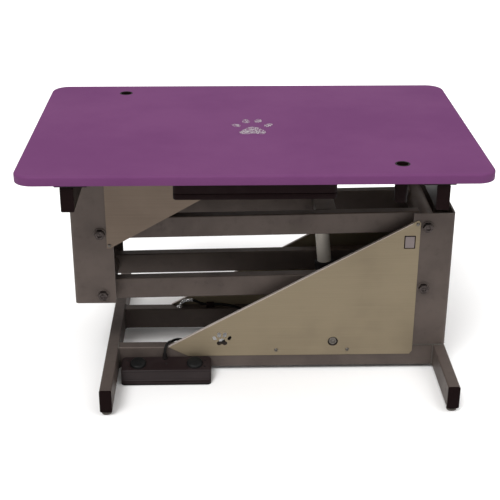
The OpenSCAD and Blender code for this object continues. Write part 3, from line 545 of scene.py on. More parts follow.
class Bench:
    """Modelling operations as by hand, and the dressing of finished pieces."""

    def __init__(self, paints: Paintbox) -> None:
        """Keeps the paints."""
        self.paints = paints

    def _named(self, name: str) -> Piece:
        """Names the new primitive and sets its transform into its mesh."""
        made = bpy.context.view_layer.objects.active
        made.name = made.data.name = name
        self.settle(made)
        return made

    def only(self, *pieces: Piece) -> None:
        """Selects these pieces alone, the first of them active."""
        bpy.ops.object.select_all(action="DESELECT")
        for piece in pieces:
            piece.select_set(True)
        bpy.context.view_layer.objects.active = pieces[0]

    def settle(self, piece: Piece) -> None:
        """Puts the piece's place, turn and size into its mesh."""
        self.only(piece)
        bpy.ops.object.transform_apply(location=True, rotation=True, scale=True)

    def block(self, name: str, low: Point, high: Point) -> Piece:
        """A block between two corners."""
        self.clear()
        middle = (Vector(low) + Vector(high)) / 2
        bpy.ops.mesh.primitive_cube_add(size=1.0, location=middle)
        bpy.context.view_layer.objects.active.scale = Vector(high) - Vector(low)
        return self._named(name)

    def slab(self, name: str, low: Point, high: Point, corner: float, steps: int, way: Test) -> Piece:
        """A block whose edges along one way are rounded."""
        return self.bevel(self.block(name, low, high), corner, steps, way)

    def clear(self) -> None:
        """Deselects everything."""
        bpy.ops.object.select_all(action="DESELECT")

    def prism(self, name: str, outline: Sequence[Pair], depth: float) -> Piece:
        """An outline in XY, extruded up along Z.

        Args:
            name: The piece's name.
            outline: Its corners, anticlockwise.
            depth: How far it is extruded.

        Returns:
            The piece, standing on Z = 0.
        """
        self.clear()
        bpy.ops.mesh.primitive_circle_add(vertices=len(outline), radius=1.0, fill_type="NGON")
        made = self._named(name)
        for vertex, (x, y) in zip(made.data.vertices, outline):
            vertex.co = (x, y, 0.0)
        bpy.ops.object.mode_set(mode="EDIT")
        bpy.ops.mesh.select_all(action="SELECT")
        bpy.ops.mesh.extrude_region_move(TRANSFORM_OT_translate={"value": (0, 0, depth)})
        bpy.ops.mesh.select_all(action="SELECT")
        bpy.ops.mesh.normals_make_consistent(inside=False)
        bpy.ops.object.mode_set(mode="OBJECT")
        return made

    def lathe(self, name: str, profile: Sequence[Pair], steps: int = 40) -> Piece:
        """A closed profile of (radius, height) spun round Z.

        Args:
            name: The piece's name.
            profile: The corners of the profile.
            steps: Faces round the piece.

        Returns:
            The turned piece.
        """
        self.clear()
        bpy.ops.mesh.primitive_circle_add(vertices=len(profile), radius=1.0, fill_type="NOTHING")
        made = self._named(name)
        for vertex, (radius, height) in zip(made.data.vertices, profile):
            vertex.co = (radius, 0.0, height)
        bpy.ops.object.mode_set(mode="EDIT")
        bpy.ops.mesh.select_all(action="SELECT")
        bpy.ops.mesh.spin(steps=steps, angle=2 * math.pi, center=(0, 0, 0), axis=(0, 0, 1))
        bpy.ops.mesh.select_all(action="SELECT")
        bpy.ops.mesh.remove_doubles(threshold=1e-6)
        bpy.ops.mesh.dissolve_degenerate(threshold=1e-7)
        bpy.ops.mesh.select_all(action="SELECT")
        bpy.ops.mesh.normals_make_consistent(inside=False)
        bpy.ops.object.mode_set(mode="OBJECT")
        return made

    def rod(self, name: str, radius: float, low: float, high: float, steps: int) -> Piece:
        """A round bar along Z, between two heights."""
        return self.lathe(name, [(0, low), (radius, low), (radius, high), (0, high)], steps)

    def moved(self, piece: Piece, place: Matrix) -> Piece:
        """Moves the piece's mesh by a matrix."""
        piece.data.transform(place)
        if place.determinant() < 0:
            piece.data.flip_normals()
        return piece

    def copies(self, name: str, piece: Piece, places: Sequence[Matrix]) -> Piece:
        """Copies a piece to each place and joins the copies.

        Args:
            name: The name of the joined piece.
            piece: What is copied. It is used up.
            places: A matrix for each copy.

        Returns:
            The joined piece.
        """
        made = []
        for place in places:
            twin = piece.copy()
            twin.data = piece.data.copy()
            bpy.context.scene.collection.objects.link(twin)
            made.append(self.moved(twin, place))
        bpy.data.objects.remove(piece)
        return self.joined(name, *made)

    def joined(self, name: str, *pieces: Piece) -> Piece:
        """Joins pieces into one, under a name."""
        self.only(*pieces)
        if len(pieces) > 1:
            bpy.ops.object.join()
        made = bpy.context.view_layer.objects.active
        made.name = made.data.name = name
        return made

    def bevel(self, piece: Piece, width: float, steps: int, pick: Test | None = None) -> Piece:
        """Rounds the edges that a test picks.

        Args:
            piece: The piece.
            width: Width of the rounding.
            steps: Its segments.
            pick: A test on an edge's middle and its run, or None for sharp edges.

        Returns:
            The piece.
        """
        self.only(piece)
        bpy.ops.object.mode_set(mode="EDIT")
        bpy.ops.mesh.select_mode(type="EDGE")
        bpy.ops.mesh.select_all(action="DESELECT")
        shape = bmesh.from_edit_mesh(piece.data)
        for edge in shape.edges:
            a, b = edge.verts
            if pick is not None:
                edge.select = pick((a.co + b.co) / 2, (b.co - a.co).normalized())
            else:
                edge.select = edge.is_manifold and edge.calc_face_angle(0.0) > SHARP
        bmesh.update_edit_mesh(piece.data)
        bpy.ops.mesh.bevel(offset=width, segments=steps, affect="EDGES", clamp_overlap=True)
        bpy.ops.object.mode_set(mode="OBJECT")
        return piece

    def inset(self, piece: Piece, pick: Test, rim: float, depth: float) -> Piece:
        """Insets the faces that a test on middle and normal picks, and sinks them by depth."""
        self.only(piece)
        bpy.ops.object.mode_set(mode="EDIT")
        bpy.ops.mesh.select_mode(type="FACE")
        bpy.ops.mesh.select_all(action="DESELECT")
        shape = bmesh.from_edit_mesh(piece.data)
        for face in shape.faces:
            face.select = pick(face.calc_center_median(), face.normal)
        bmesh.update_edit_mesh(piece.data)
        bpy.ops.mesh.inset(thickness=rim, depth=0.0)
        bpy.ops.mesh.inset(thickness=abs(depth) * 0.6, depth=-depth)
        bpy.ops.object.mode_set(mode="OBJECT")
        return piece

    def carve(self, piece: Piece, tool: Piece, way: str = "DIFFERENCE") -> Piece:
        """Cuts, meets or adds another shape, which is used up."""
        self.only(piece)
        boolean = piece.modifiers.new("carve", "BOOLEAN")
        boolean.operation, boolean.solver, boolean.object = way, "EXACT", tool
        bpy.ops.object.modifier_apply(modifier="carve")
        bpy.data.objects.remove(tool)
        return piece

    def dress(
        self,
        piece: Piece,
        body: str,
        finish: Finish,
        *stands_for: str,
        recipe: Recipe | None = None,
        angle: float = 32.0,
    ) -> Piece:
        """Shades, paints and mounts a finished piece.

        Args:
            piece: The piece.
            body: The CAD body that it rides on.
            finish: Its finish, which picks its material unless a recipe is given.
            *stands_for: CAD nodes that it replaces.
            recipe: A recipe to use in place of the finish's own.
            angle: Faces that meet under this angle are shaded smooth.

        Returns:
            The piece.
        """
        if piece.type == "MESH":
            self.only(piece)
            bpy.ops.object.shade_smooth_by_angle(angle=math.radians(angle))
        piece.data.materials.clear()
        paint = self.paints.special(recipe) if recipe else self.paints.of(finish)
        piece.data.materials.append(paint)
        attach(piece, body)
        if stands_for:
            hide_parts(*stands_for)
        log.info("%s rides on %s", piece.name, body)
        return piece


def along_y(x: float, y: float, z: float, front: bool = True) -> Matrix:
    """A place at a point, turned so that local +Z looks to the front or to the rear."""
    turn = math.pi / 2 if front else -math.pi / 2
    return Matrix.Translation((x, y, z)) @ Matrix.Rotation(turn, 4, "X")


def both_faces(spots: Sequence[Pair], face: float) -> list[Matrix]:
    """Places at (x, z) spots on the front face, then on the rear face."""
    return [along_y(x, side * face, z, side < 0) for side in (-1, 1) for x, z in spots]


def arc(centre: Pair, radius: float, start: float, end: float, steps: int) -> list[Pair]:
    """Points on an arc, its angles in degrees."""
    return [
        (
            centre[0] + radius * math.cos(math.radians(start + (end - start) * i / steps)),
            centre[1] + radius * math.sin(math.radians(start + (end - start) * i / steps)),
        )
        for i in range(steps + 1)
    ]


def spline_point(p: Sequence[Vector], t: float) -> Vector:
    """A point between the middle two of four, on a smooth curve through them."""
    knots = [0.0]
    for a, b in zip(p, p[1:]):
        knots.append(knots[-1] + max(1e-9, (b - a).length) ** 0.5)
    at = knots[1] + (knots[2] - knots[1]) * t

    def between(a: Vector, b: Vector, low: float, high: float) -> Vector:
        """Straight between two points by a knot."""
        return a * ((high - at) / (high - low)) + b * ((at - low) / (high - low))

    first = [between(p[i], p[i + 1], knots[i], knots[i + 1]) for i in range(3)]
    second = [between(first[i], first[i + 1], knots[i], knots[i + 2]) for i in range(2)]
    return between(second[0], second[1], knots[1], knots[2])


def smooth_path(points: Sequence[Point], step: float) -> list[Vector]:
    """A smooth open curve through points, sampled about every step."""
    p = [Vector(point) for point in points]
    p = [p[0] * 2 - p[1], *p, p[-1] * 2 - p[-2]]
    route = []
    for i in range(1, len(p) - 2):
        count = max(1, round((p[i + 1] - p[i]).length / step))
        route += [spline_point(p[i - 1 : i + 3], j / count) for j in range(count)]
    return route + [p[-2]]


def smooth_loop(corners: Sequence[Pair], count: int) -> list[Pair]:
    """A smooth closed outline through corners, with count points for each."""
    p = [Vector((x, y, 0.0)) for x, y in corners]
    around = [p[-1], *p, p[0], p[1]]
    made = [spline_point(around[i : i + 4], j / count) for i in range(len(p)) for j in range(count)]
    return [(v.x, v.y) for v in made]


def path_length(route: Sequence[Vector]) -> float:
    """Length of a path."""
    return sum((b - a).length for a, b in zip(route, route[1:]))


# Darker copy of the brushed sheet for the upper guards: painted shade standing in for the shadow of the
# top
SHADED_UPPER_SHEET = BrushedSheet("brushed_sheet_painted_shade", rgb(0.150, 0.114, 0.088), rgb(0.128, 0.097, 0.074))
# Lighter copy of the brushed sheet for the guard flanges: a painted highlight along the fold
EDGE_HIGHLIGHT_RECIPE = BrushedSheet("edge_painted_highlight", rgb(0.46, 0.40, 0.37), rgb(0.38, 0.33, 0.30), 0.35, 0.4)
WELD_RECIPE = SprayedCoat(
    "weld_coat", rgb(0.088, 0.078, 0.069), rgb(0.055, 0.048, 0.042), rgb(0.22, 0.21, 0.19),
    metal=0.4, rough=0.42, wear=0.3
)
LABEL_RECIPE = SprayedCoat(
    "label_face", rgb(0.205, 0.172, 0.168), rgb(0.165, 0.140, 0.136), rgb(0.36, 0.34, 0.33),
    metal=0.2, rough=0.4, wear=0.1
)
BOLT_RECIPE = PlatedMetal("dull_zinc", rgb(0.066, 0.054, 0.051), rgb(0.036, 0.030, 0.028), 0.30)
PEDAL_RECIPE = MouldedPlastic(
    "pedal_black", rgb(0.0130, 0.0080, 0.0082), rgb(0.030, 0.022, 0.022), 0.46, gloss=0.13
)
BUTTON_RECIPE = MouldedPlastic(
    "button_black", rgb(0.008, 0.008, 0.008), rgb(0.03, 0.03, 0.03), 0.36, 1300.0, 0.00003
)
CORD_RECIPE = MouldedPlastic(
    "cord_jacket", rgb(0.007, 0.007, 0.007), rgb(0.025, 0.024, 0.023), 0.5, 2200.0, 0.00002
)


# ---------------------------------------------------------------- CAD nodes


@dataclass
class CarriedNodes:
    """The CAD nodes that stay in view, painted and with softened edges."""

    bench: Bench
    nodes: dict[str, Piece]
    soft_edge: float = 0.0005
    sheet_edge: float = 0.0003

    def dress(self) -> None:
        """Paints each node, and softens those with plain cut edges."""
        for finish, names in NODE_FINISH.items():
            for name in names.split():
                node = self.nodes[name]
                node.data.materials.clear()
                # The upper guards take the darker copy of the sheet, painted shade under the top
                shaded = name.startswith("upper_guard")
                node.data.materials.append(
                    self.bench.paints.special(SHADED_UPPER_SHEET if shaded else RECIPES[finish])
                )
        for name in NODE_FINISH[Finish.SILVER].split() + NODE_FINISH[Finish.STAINLESS].split():
            self._soften(self.nodes[name], self.sheet_edge if "guard" in name else self.soft_edge)
        for name in ("cross_tube_left", "cross_tube_right", "mounting_plates"):
            self._soften(self.nodes[name], self.soft_edge)
        log.info("painted %d CAD nodes", len(self.nodes))

    def _soften(self, node: Piece, width: float) -> None:
        """Merges, flattens and bevels a node with live modifiers."""
        weld = node.modifiers.new("weld", "WELD")
        weld.merge_threshold = 1e-5
        flat = node.modifiers.new("flat", "DECIMATE")
        flat.decimate_type, flat.angle_limit = "DISSOLVE", math.radians(1.0)
        edge = node.modifiers.new("edge", "BEVEL")
        edge.limit_method, edge.angle_limit = "ANGLE", math.radians(40)
        edge.width, edge.segments, edge.use_clamp_overlap = width, 2, True
        shade = node.modifiers.new("shade", "WEIGHTED_NORMAL")
        shade.keep_sharp = False


# ---------------------------------------------------------------- table top


@dataclass
class TableTop:
    """The sheet of the top, the print on it and the rims of its two sockets."""

    bench: Bench
    corner: float = 0.038
    roll: float = 0.005
    skin: float = 0.003
    hole: float = 0.01275
    bore: float = 0.0113
    rim: float = 0.0148
    rim_rise: float = 0.0005
    print_t: float = 0.00012
    sockets: tuple[Pair, ...] = ((-0.2835, 0.2438), (0.2835, -0.2438))

    def build(self) -> None:
        """Builds the three kinds of piece."""
        self._sheet()
        self._paw()
        self._rims()

    def _sheet(self) -> None:
        """Rounded sheet with a rolled edge, a pocket for the board and two holes."""
        b = self.bench
        low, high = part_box("table_skin")
        sheet = b.slab("top_sheet", low, high, self.corner, 16, ALONG_Z)
        b.bevel(sheet, self.roll, 6, above(high.z - MM / 10))
        b.bevel(sheet, 0.0008, 2, below(low.z + MM / 10))
        inner = Vector((self.skin, self.skin, 0))
        pocket = b.slab(
            "pocket", low + inner - Vector((0, 0, 0.01)), high - inner - Vector((0, 0, self.skin)),
            self.corner - self.skin, 16, ALONG_Z
        )
        b.carve(sheet, pocket)
        for x, y in self.sockets:
            drill = b.rod("drill", self.hole, -0.03, 0.03, 48)
            b.carve(sheet, b.moved(drill, Matrix.Translation((x, y, TOP_Z))))
        b.dress(sheet, "carriage", Finish.PURPLE, "table_skin")

    def _paw(self) -> None:
        """Paw print: four toes behind a lobed pad."""
        b = self.bench
        pad = [(0, 25), (10, 21), (17, 10), (25, -3), (28, -13), (24, -21), (15, -24), (7, -20)]
        pad = pad + [(0, -18)] + [(-x, y) for x, y in reversed(pad[1:])]
        shapes = [self._print_shape(pad[::-1], 0.0, -0.036, 0)]
        toe = [(0, 13), (5, 9.5), (7.6, 1), (6.4, -7.5), (0, -12), (-6.4, -7.5), (-7.6, 1), (-5, 9.5)]
        for x, y, lean in ((-13, 27, 8), (13, 29, -8), (-34, -1, 34), (34, -1, -34)):
            shapes.append(self._print_shape(toe[::-1], x * MM, y * MM, lean))
        paw = b.joined("paw_print", *shapes)
        b.moved(paw, Matrix.Translation((0.0012, 0, TOP_Z + self.print_t / 10)))
        b.dress(paw, "carriage", Finish.PURPLE, recipe=PrintedPaw())

    def _print_shape(self, corners: list[Pair], x: float, y: float, lean: float) -> Piece:
        """One closed shape of the print, its corners in millimetres."""
        outline = [(px * MM, py * MM) for px, py in smooth_loop(corners, 6)]
        shape = self.bench.prism("print", outline, self.print_t)
        place = Matrix.Translation((x, y, 0)) @ Matrix.Rotation(math.radians(lean), 4, "Z")
        return self.bench.moved(shape, place)

    def _rims(self) -> None:
        """Black rims that line the two sockets."""
        b = self.bench
        top, low = self.rim_rise, -0.001
        profile = [
            (self.bore, low), (self.rim - 0.0004, low), (self.rim, 0.0), (self.rim - 0.0003, top * 0.7)
        ]
        profile += [(self.rim - 0.0011, top), (self.bore + 0.0009, top), (self.bore, 0.0)]
        rim = b.lathe("rim", profile, 56)
        rims = b.copies(
            "socket_rims", rim, [Matrix.Translation((x, y, TOP_Z)) for x, y in self.sockets]
        )
        b.dress(rims, "carriage", Finish.BLACK_PAINT)


# ---------------------------------------------------------------- guards


@dataclass
class Guards:
    """The turned edges of the lower guards and the blank label plate."""

    bench: Bench
    tip: Pair = (-0.186, 0.061)
    crest: Pair = (0.339, 0.3535)
    flange: float = 0.0065
    sheet: float = GUARD_T
    label_low: Pair = (0.322, 0.2945)
    label_high: Pair = (0.346, 0.3245)

    def build(self) -> None:
        """Builds the flanges and the label."""
        for name, side in (("front", -1), ("rear", 1)):
            self._flange(name, side)
        self._label()

    def _flange(self, name: str, side: int) -> None:
        """A narrow flange turned in along the sloping edge."""
        b = self.bench
        run = Vector((self.crest[0] - self.tip[0], self.crest[1] - self.tip[1]))
        strip = b.block(f"guard_flange_{name}", (0, 0, -self.sheet), (run.length, self.flange, 0.0004))

        def fold(middle: Vector, way: Vector) -> bool:
            """Tells the long outer edge at the fold."""
            return middle.y < MM / 10 and middle.z > 0 and abs(way.x) > 0.9

        b.bevel(strip, 0.0011, 4, fold)
        b.bevel(strip, 0.0003, 2)
        turn = Matrix.Rotation(-math.atan2(run.y, run.x), 4, "Y")
        face = FACE_Y + self.sheet + 0.0002
        place = Matrix.Translation((self.tip[0], -face, self.tip[1])) @ turn
        b.moved(strip, Matrix.Scale(-side, 4, (0, 1, 0)) @ place)
        # The flange is painted lighter, a painted highlight along the sloping edge
        b.dress(strip, "base", Finish.STAINLESS, recipe=EDGE_HIGHLIGHT_RECIPE)

    def _label(self) -> None:
        """A blank plate with a dark border."""
        b = self.bench
        face = -(FACE_Y + self.sheet)
        (x0, z0), (x1, z1) = self.label_low, self.label_high
        plate = b.slab(
            "label_border", (x0, face - 0.0004, z0), (x1, face + 0.0002, z1), 0.0016, 4, ALONG_Y
        )
        b.bevel(plate, 0.00015, 2)
        b.dress(plate, "base", Finish.BLACK_PLASTIC)
        panel = b.slab(
            "label_panel", (x0 + 0.0022, face - 0.0006, z0 + 0.0022), (x1 - 0.0022, face, z1 - 0.0022),
            0.001, 3, ALONG_Y
        )
        b.inset(panel, lambda middle, normal: normal.y < -0.9, 0.0008, 0.0001)
        b.dress(panel, "base", Finish.ZINC, recipe=LABEL_RECIPE)


# ---------------------------------------------------------------- fasteners


@dataclass
class Fasteners:
    """Cross-head screws, and hex bolts with washers and lock nuts."""

    bench: Bench
    screw_r: float = 0.004
    head_af: float = 0.019
    bolt_r: float = 0.00635
    washer_r: float = 0.0135
    washer_t: float = 0.002
    head_h: float = 0.008
    turns: int = 7
    # The actuator's bolt: reach, width across the flats, head and washer radius
    small: tuple[float, float, float, float] = (0.0935, 0.017, 0.0074, 0.010)
    base_screws: tuple[Pair, ...] = ((0.0526, 0.051), (0.2104, 0.051), (0.349, 0.3505))
    upper_screws: tuple[Pair, ...] = ((-0.3025, 0.307), (-0.240, 0.488), (0.020, 0.491))
    plate_x: float = 0.326
    tab_x: float = 0.167

    def build(self) -> None:
        """Builds every fastener in view."""
        face = FACE_Y + GUARD_T
        self._turned_screws("guard_screws", both_faces(self.base_screws, face), "base", "base_screws")
        places = both_faces(self.upper_screws, face)
        down = Matrix.Rotation(math.pi, 4, "X")
        rows = [
            (s * self.plate_x, y, BOARD_Z - 0.0048) for s in (-1, 1) for y in (-0.21, -0.07, 0.07, 0.21)
        ]
        rows += [(s * self.tab_x, y, BOARD_Z - 0.003) for s in (-1, 1) for y in (-0.2268, -0.1488)]
        places += [Matrix.Translation(row) @ down for row in rows]
        self._turned_screws("top_screws", places, "carriage", "carriage_screws")
        for name, body, (x, z), node in (
            ("fixed_pivot", "base", FIXED_PIVOT, "base_pivot_bolts"),
            ("lift_pivot", "carriage", LIFT_PIVOT, "carriage_pivot_bolts"),
        ):
            places = [along_y(x, 0, z - drop) for drop in (0, PIVOT_GAP)]
            bolts = self.bench.copies(
                f"{name}_bolts", self._bolt(FACE_Y, self.head_af, self.head_h), places
            )
            self.bench.dress(bolts, body, Finish.ZINC, node, recipe=BOLT_RECIPE)
            rings = self.bench.copies(f"{name}_washers", self._washers(self.washer_r, FACE_Y), places)
            self.bench.dress(rings, body, Finish.SILVER)
        reach, af, head, washer_r = self.small
        low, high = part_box("actuator_bolt")
        middle = (low + high) / 2
        place = along_y(middle.x, 0, middle.z)
        bolt = self.bench.moved(self._bolt(reach, af, head), place)
        self.bench.dress(
            self.bench.joined("actuator_mount_bolt", bolt), "base", Finish.ZINC, "actuator_bolt"
        )
        rings = self.bench.moved(self._washers(washer_r, reach), place)
        self.bench.dress(self.bench.joined("actuator_mount_washers", rings), "base", Finish.ZINC)

    def _screw(self) -> Piece:
        """A pan head screw up along Z, its seat at zero."""
        b, r = self.bench, self.screw_r
        head = [
            (0.0018, 0), (r, 0), (r, 0.0006), (r * 0.93, 0.0012), (r * 0.74, 0.0018), (r * 0.4, 0.0021),
            (0, 0.00215)
        ]
        screw = b.lathe("screw", [(0, -0.006), (0.0018, -0.006)] + head, 24)
        for turn in (0, math.pi / 2):
            slot = b.block("slot", (-0.0024, -0.0005, 0.0009), (0.0024, 0.0005, 0.003))
            b.carve(screw, b.moved(slot, Matrix.Rotation(turn + 0.3, 4, "Z")))
        return screw

    def _turned_screws(self, name: str, places: list[Matrix], body: str, node: str) -> None:
        """A set of screws, each turned its own way."""
        turned = [place @ Matrix.Rotation(0.7 * i, 4, "Z") for i, place in enumerate(places)]
        self.screws(name, turned, body, node)

    def screws(
        self, name: str, places: list[Matrix], body: str, *nodes: str, finish: Finish = Finish.ZINC
    ) -> None:
        """A set of equal screws as one piece."""
        self.bench.dress(self.bench.copies(name, self._screw(), places), body, finish, *nodes)

    def _hex(self, af: float, height: float) -> Piece:
        """A hexagon with a turned chamfer, up from zero."""
        b = self.bench
        corner = af / 2 / math.cos(math.radians(30))
        head = b.prism("hex", arc((0, 0), corner, 0, 300, 5), height)
        crown = [(0, -0.001), (corner * 1.01, -0.001), (corner * 1.01, height - 0.0011)]
        crown += [(af / 2 * 0.96, height + 0.00002), (0, height + 0.00002)]
        return b.carve(head, b.lathe("crown", crown, 48), "INTERSECT")

    def _washers(self, radius: float, reach: float) -> Piece:
        """Two flat washers with rounded edges, outside the clamped length."""
        b, t, soft, rings = self.bench, self.washer_t, 0.0004, []
        for low in (reach, -reach - t):
            profile = [
                (self.bolt_r, low), (radius - soft, low), (radius, low + soft), (radius, low + t - soft)
            ]
            profile += [(radius - soft, low + t), (self.bolt_r, low + t)]
            rings.append(b.lathe("washer", profile, 44))
        return b.joined("washers", *rings)

    def _bolt(self, reach: float, af: float, head: float) -> Piece:
        """A bolt along Z: head above, lock nut below, its clamped length twice the reach."""
        b, r, seat = self.bench, self.bolt_r, reach + self.washer_t
        crown = self._hex(af, head)
        dish = [(0, head - 0.0026), (0.0030, head - 0.0024), (0.0047, head - 0.0012)]
        dish += [(0.0056, head + 0.001), (0, head + 0.001)]
        b.carve(crown, b.lathe("dish", dish, 36))
        b.moved(crown, Matrix.Translation((0, 0, seat)))
        over = Matrix.Rotation(math.pi, 4, "X") @ Matrix.Translation((0, 0, seat))
        nut = b.moved(self._hex(af, head - 0.0015), over)
        end, start = -seat - head, -seat + 0.002
        collar = [
            (r * 0.9, end + 0.0016), (af * 0.42, end + 0.0016), (af * 0.40, end + 0.0004),
            (r * 0.9, end)
        ]
        tail = end - (0.002 if head > 0.0075 else 0.0)
        threads = [(0, seat), (r, seat), (r, start)]
        step = (start - tail) / self.turns
        for i in range(self.turns):
            top = start - i * step
            threads += [(r * 0.9, top - step * 0.5), (r, top - step)]
        threads += [(r * 0.86, tail), (0, tail)]
        return b.joined(
            "bolt", crown, nut, b.lathe("collar", collar, 36), b.lathe("shank", threads[::-1], 28)
        )


# ---------------------------------------------------------------- welds


@dataclass
class Welds:
    """Beads of overlapping drops where the tubes and plates are welded."""

    bench: Bench
    pitch: float = 0.0023
    beam_in: float = 0.0781
    foot_faces: Pair = (-0.2951, 0.4016)
    foot_low: float = 0.0094
    rail_end: float = 0.3433
    rail_low: float = 0.4624
    rail_high: float = 0.5112
    # Each seam: from x, to x, y and the bead's radius
    floor_seams: tuple[Seam, ...] = (
        (0.3415, 0.4016, FACE_Y, 0.0014), (0.4016, 0.4215, FACE_Y + 0.0006, 0.0029),
        (0.345, 0.42, PLATE_IN, 0.0019), (0.157, 0.199, 0.0875, 0.0018),
        (0.157, 0.199, 0.0935, 0.0018),
    )
    # Each seam across: x and half its length
    web_seams: tuple[Pair, ...] = ((0.4268, 0.097), (0.4233, 0.096))
    hung_seams: tuple[Seam, ...] = (
        (-0.368, -0.344, PLATE_IN, 0.0021), (-0.368, -0.344, FACE_Y, 0.0021),
        (-0.3433, -0.3, FACE_Y, 0.0015),
    )
    arm_l: float = 0.6916
    arm_faces: Pair = (0.0501, 0.0755)
    pipe_r: float = 0.0224
    yoke_h: float = 0.0254
    rest: float = math.radians(0.87)

    def build(self) -> None:
        """Lays the beads of each body."""
        self._lay("base_welds", "base", self._base_runs())
        self._lay("carriage_welds", "carriage", self._carriage_runs())
        height = FIXED_PIVOT[1]
        self._lay("upper_arm_welds", "upper_arms", self._arm_runs(height) + self._yoke_runs())
        self._lay("lower_arm_welds", "lower_arms", self._arm_runs(height - PIVOT_GAP))

    def _base_runs(self) -> Runs:
        """Beams on feet, the fixed post, and the actuator's ears."""
        runs: Runs = []
        for s in (-1, 1):
            for x in self.foot_faces:
                y0, y1, z0, z1 = s * self.beam_in, s * FACE_Y, self.foot_low, FOOT_TOP
                runs.append(([(x, y0, z0), (x, y1, z0), (x, y1, z1), (x, y0, z1), (x, y0, z0)], 0.0021))
            runs += self._seams(self.floor_seams, s, FOOT_TOP)
        runs += [([(x, -y, FOOT_TOP), (x, y, FOOT_TOP)], 0.0019) for x, y in self.web_seams]
        return runs

    def _seams(self, seams: Sequence[Seam], side: int, height: float) -> Runs:
        """Straight level seams along X, on one side."""
        return [
            ([(x0, side * y, height), (x1, side * y, height)], radius) for x0, x1, y, radius in seams
        ]

    def _carriage_runs(self) -> Runs:
        """Post to cross tube, and rails to both cross tubes."""
        runs: Runs = []
        low, high = self.rail_low, self.rail_high
        for s in (-1, 1):
            runs += self._seams(self.hung_seams, s, low)
            for x in (-self.rail_end, self.rail_end):
                y0, y1 = s * self.beam_in, s * FACE_Y
                runs.append(([(x, y0, high), (x, y0, low), (x, y1, low), (x, y1, high)], 0.0019))
        return runs

    def _arm_runs(self, height: float) -> Runs:
        """The saddles of both arms on their pivot tubes."""
        runs: Runs = []
        for centre, start, end in ((0.0, 129.0, 231.0), (-self.arm_l, -51.0, 51.0)):
            for s in (-1, 1):
                for y in self.arm_faces:
                    bend = arc((centre, 0.0), self.pipe_r, start, end, 12)
                    runs.append(([self._on_arm(x, s * y, z, height) for x, z in bend], 0.0017))
        return runs

    def _on_arm(self, x: float, y: float, z: float, height: float) -> Point:
        """A point of the level arm, taken to the arm's lowest place."""
        c, s = math.cos(self.rest), math.sin(self.rest)
        return (FIXED_PIVOT[0] + x * c - z * s, y, height + x * s + z * c)

    def _yoke_runs(self) -> Runs:
        """The cross bar between the upper arms."""
        low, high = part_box("lift_yoke")
        base = high.z - self.yoke_h
        corners = [(low.x, base), (low.x, high.z), (high.x, high.z), (high.x, base), (low.x, base)]
        return [([(x, s * self.arm_faces[0], z) for x, z in corners], 0.0018) for s in (-1, 1)]

    def _lay(self, name: str, body: str, runs: Runs) -> None:
        """Places drops along each run and joins them."""
        b = self.bench
        b.clear()
        bpy.ops.mesh.primitive_uv_sphere_add(segments=8, ring_count=5, radius=1.0)
        drop = bpy.context.view_layer.objects.active
        places, count = [], 0
        for points, radius in runs:
            for start, end in zip(points, points[1:]):
                way = Vector(end) - Vector(start)
                steps = max(1, round(way.length / self.pitch))
                look = way.to_track_quat("X", "Z").to_matrix().to_4x4()
                for i in range(steps):
                    count += 1
                    swell = 1.0 + 0.12 * math.sin(count * 2.4) + 0.06 * math.sin(count * 0.77)
                    at = Matrix.Translation(Vector(start) + way * ((i + 0.5) / steps))
                    lean = Matrix.Rotation(0.45, 4, "Y")
                    size = Matrix.Diagonal(
                        (self.pitch * 0.72, radius * swell, radius * 0.9 * swell, 1.0)
                    )
                    places.append(at @ look @ lean @ size)
        beads = b.copies(name, drop, places)
        b.dress(beads, body, Finish.SILVER, recipe=WELD_RECIPE, angle=80)


# ---------------------------------------------------------------- levellers and caps


@dataclass
class Levellers:
    """The four screw feet."""

    bench: Bench
    x_left: float = -0.3078
    x_right: float = 0.4143
    y: float = 0.271
    stem: Pair = (0.006, 0.0264)
    turns: int = 15

    def build(self) -> None:
        """Builds each on its own body."""
        for y, row in ((-self.y, "front"), (self.y, "rear")):
            for x, side in ((self.x_left, "left"), (self.x_right, "right")):
                node = f"leveler_{row}_{side}"
                foot = self._foot()
                self.bench.moved(foot, Matrix.Translation((x, y, 0)))
                foot.name = f"screw_foot_{row}_{side}"
                self.bench.dress(foot, node, Finish.ZINC, node)

    def _foot(self) -> Piece:
        """A domed pad, a hexagon and a threaded stem."""
        b = self.bench
        pad = [
            (0, 0), (0.0093, 0), (0.0105, 0.0006), (0.011, 0.0018), (0.0108, 0.0034), (0.0098, 0.0049)
        ]
        pad += [(0.008, 0.0059), (0.0062, 0.0064), (0, 0.0064)]
        start, end = self.stem
        stem = [(0, start)]
        for i in range(self.turns):
            z = start + (end - start) * i / self.turns
            stem += [(0.0039, z), (0.0045, z + 0.0007)]
        stem += [(0.0039, end), (0, end)]
        collar = b.prism("collar", arc((0, 0), 0.0064, 0, 300, 5), 0.0022)
        b.bevel(collar, 0.0003, 2)
        b.moved(collar, Matrix.Translation((0, 0, 0.0062)))
        return b.joined("foot", b.lathe("pad", pad, 36), b.lathe("stem", stem, 20), collar)


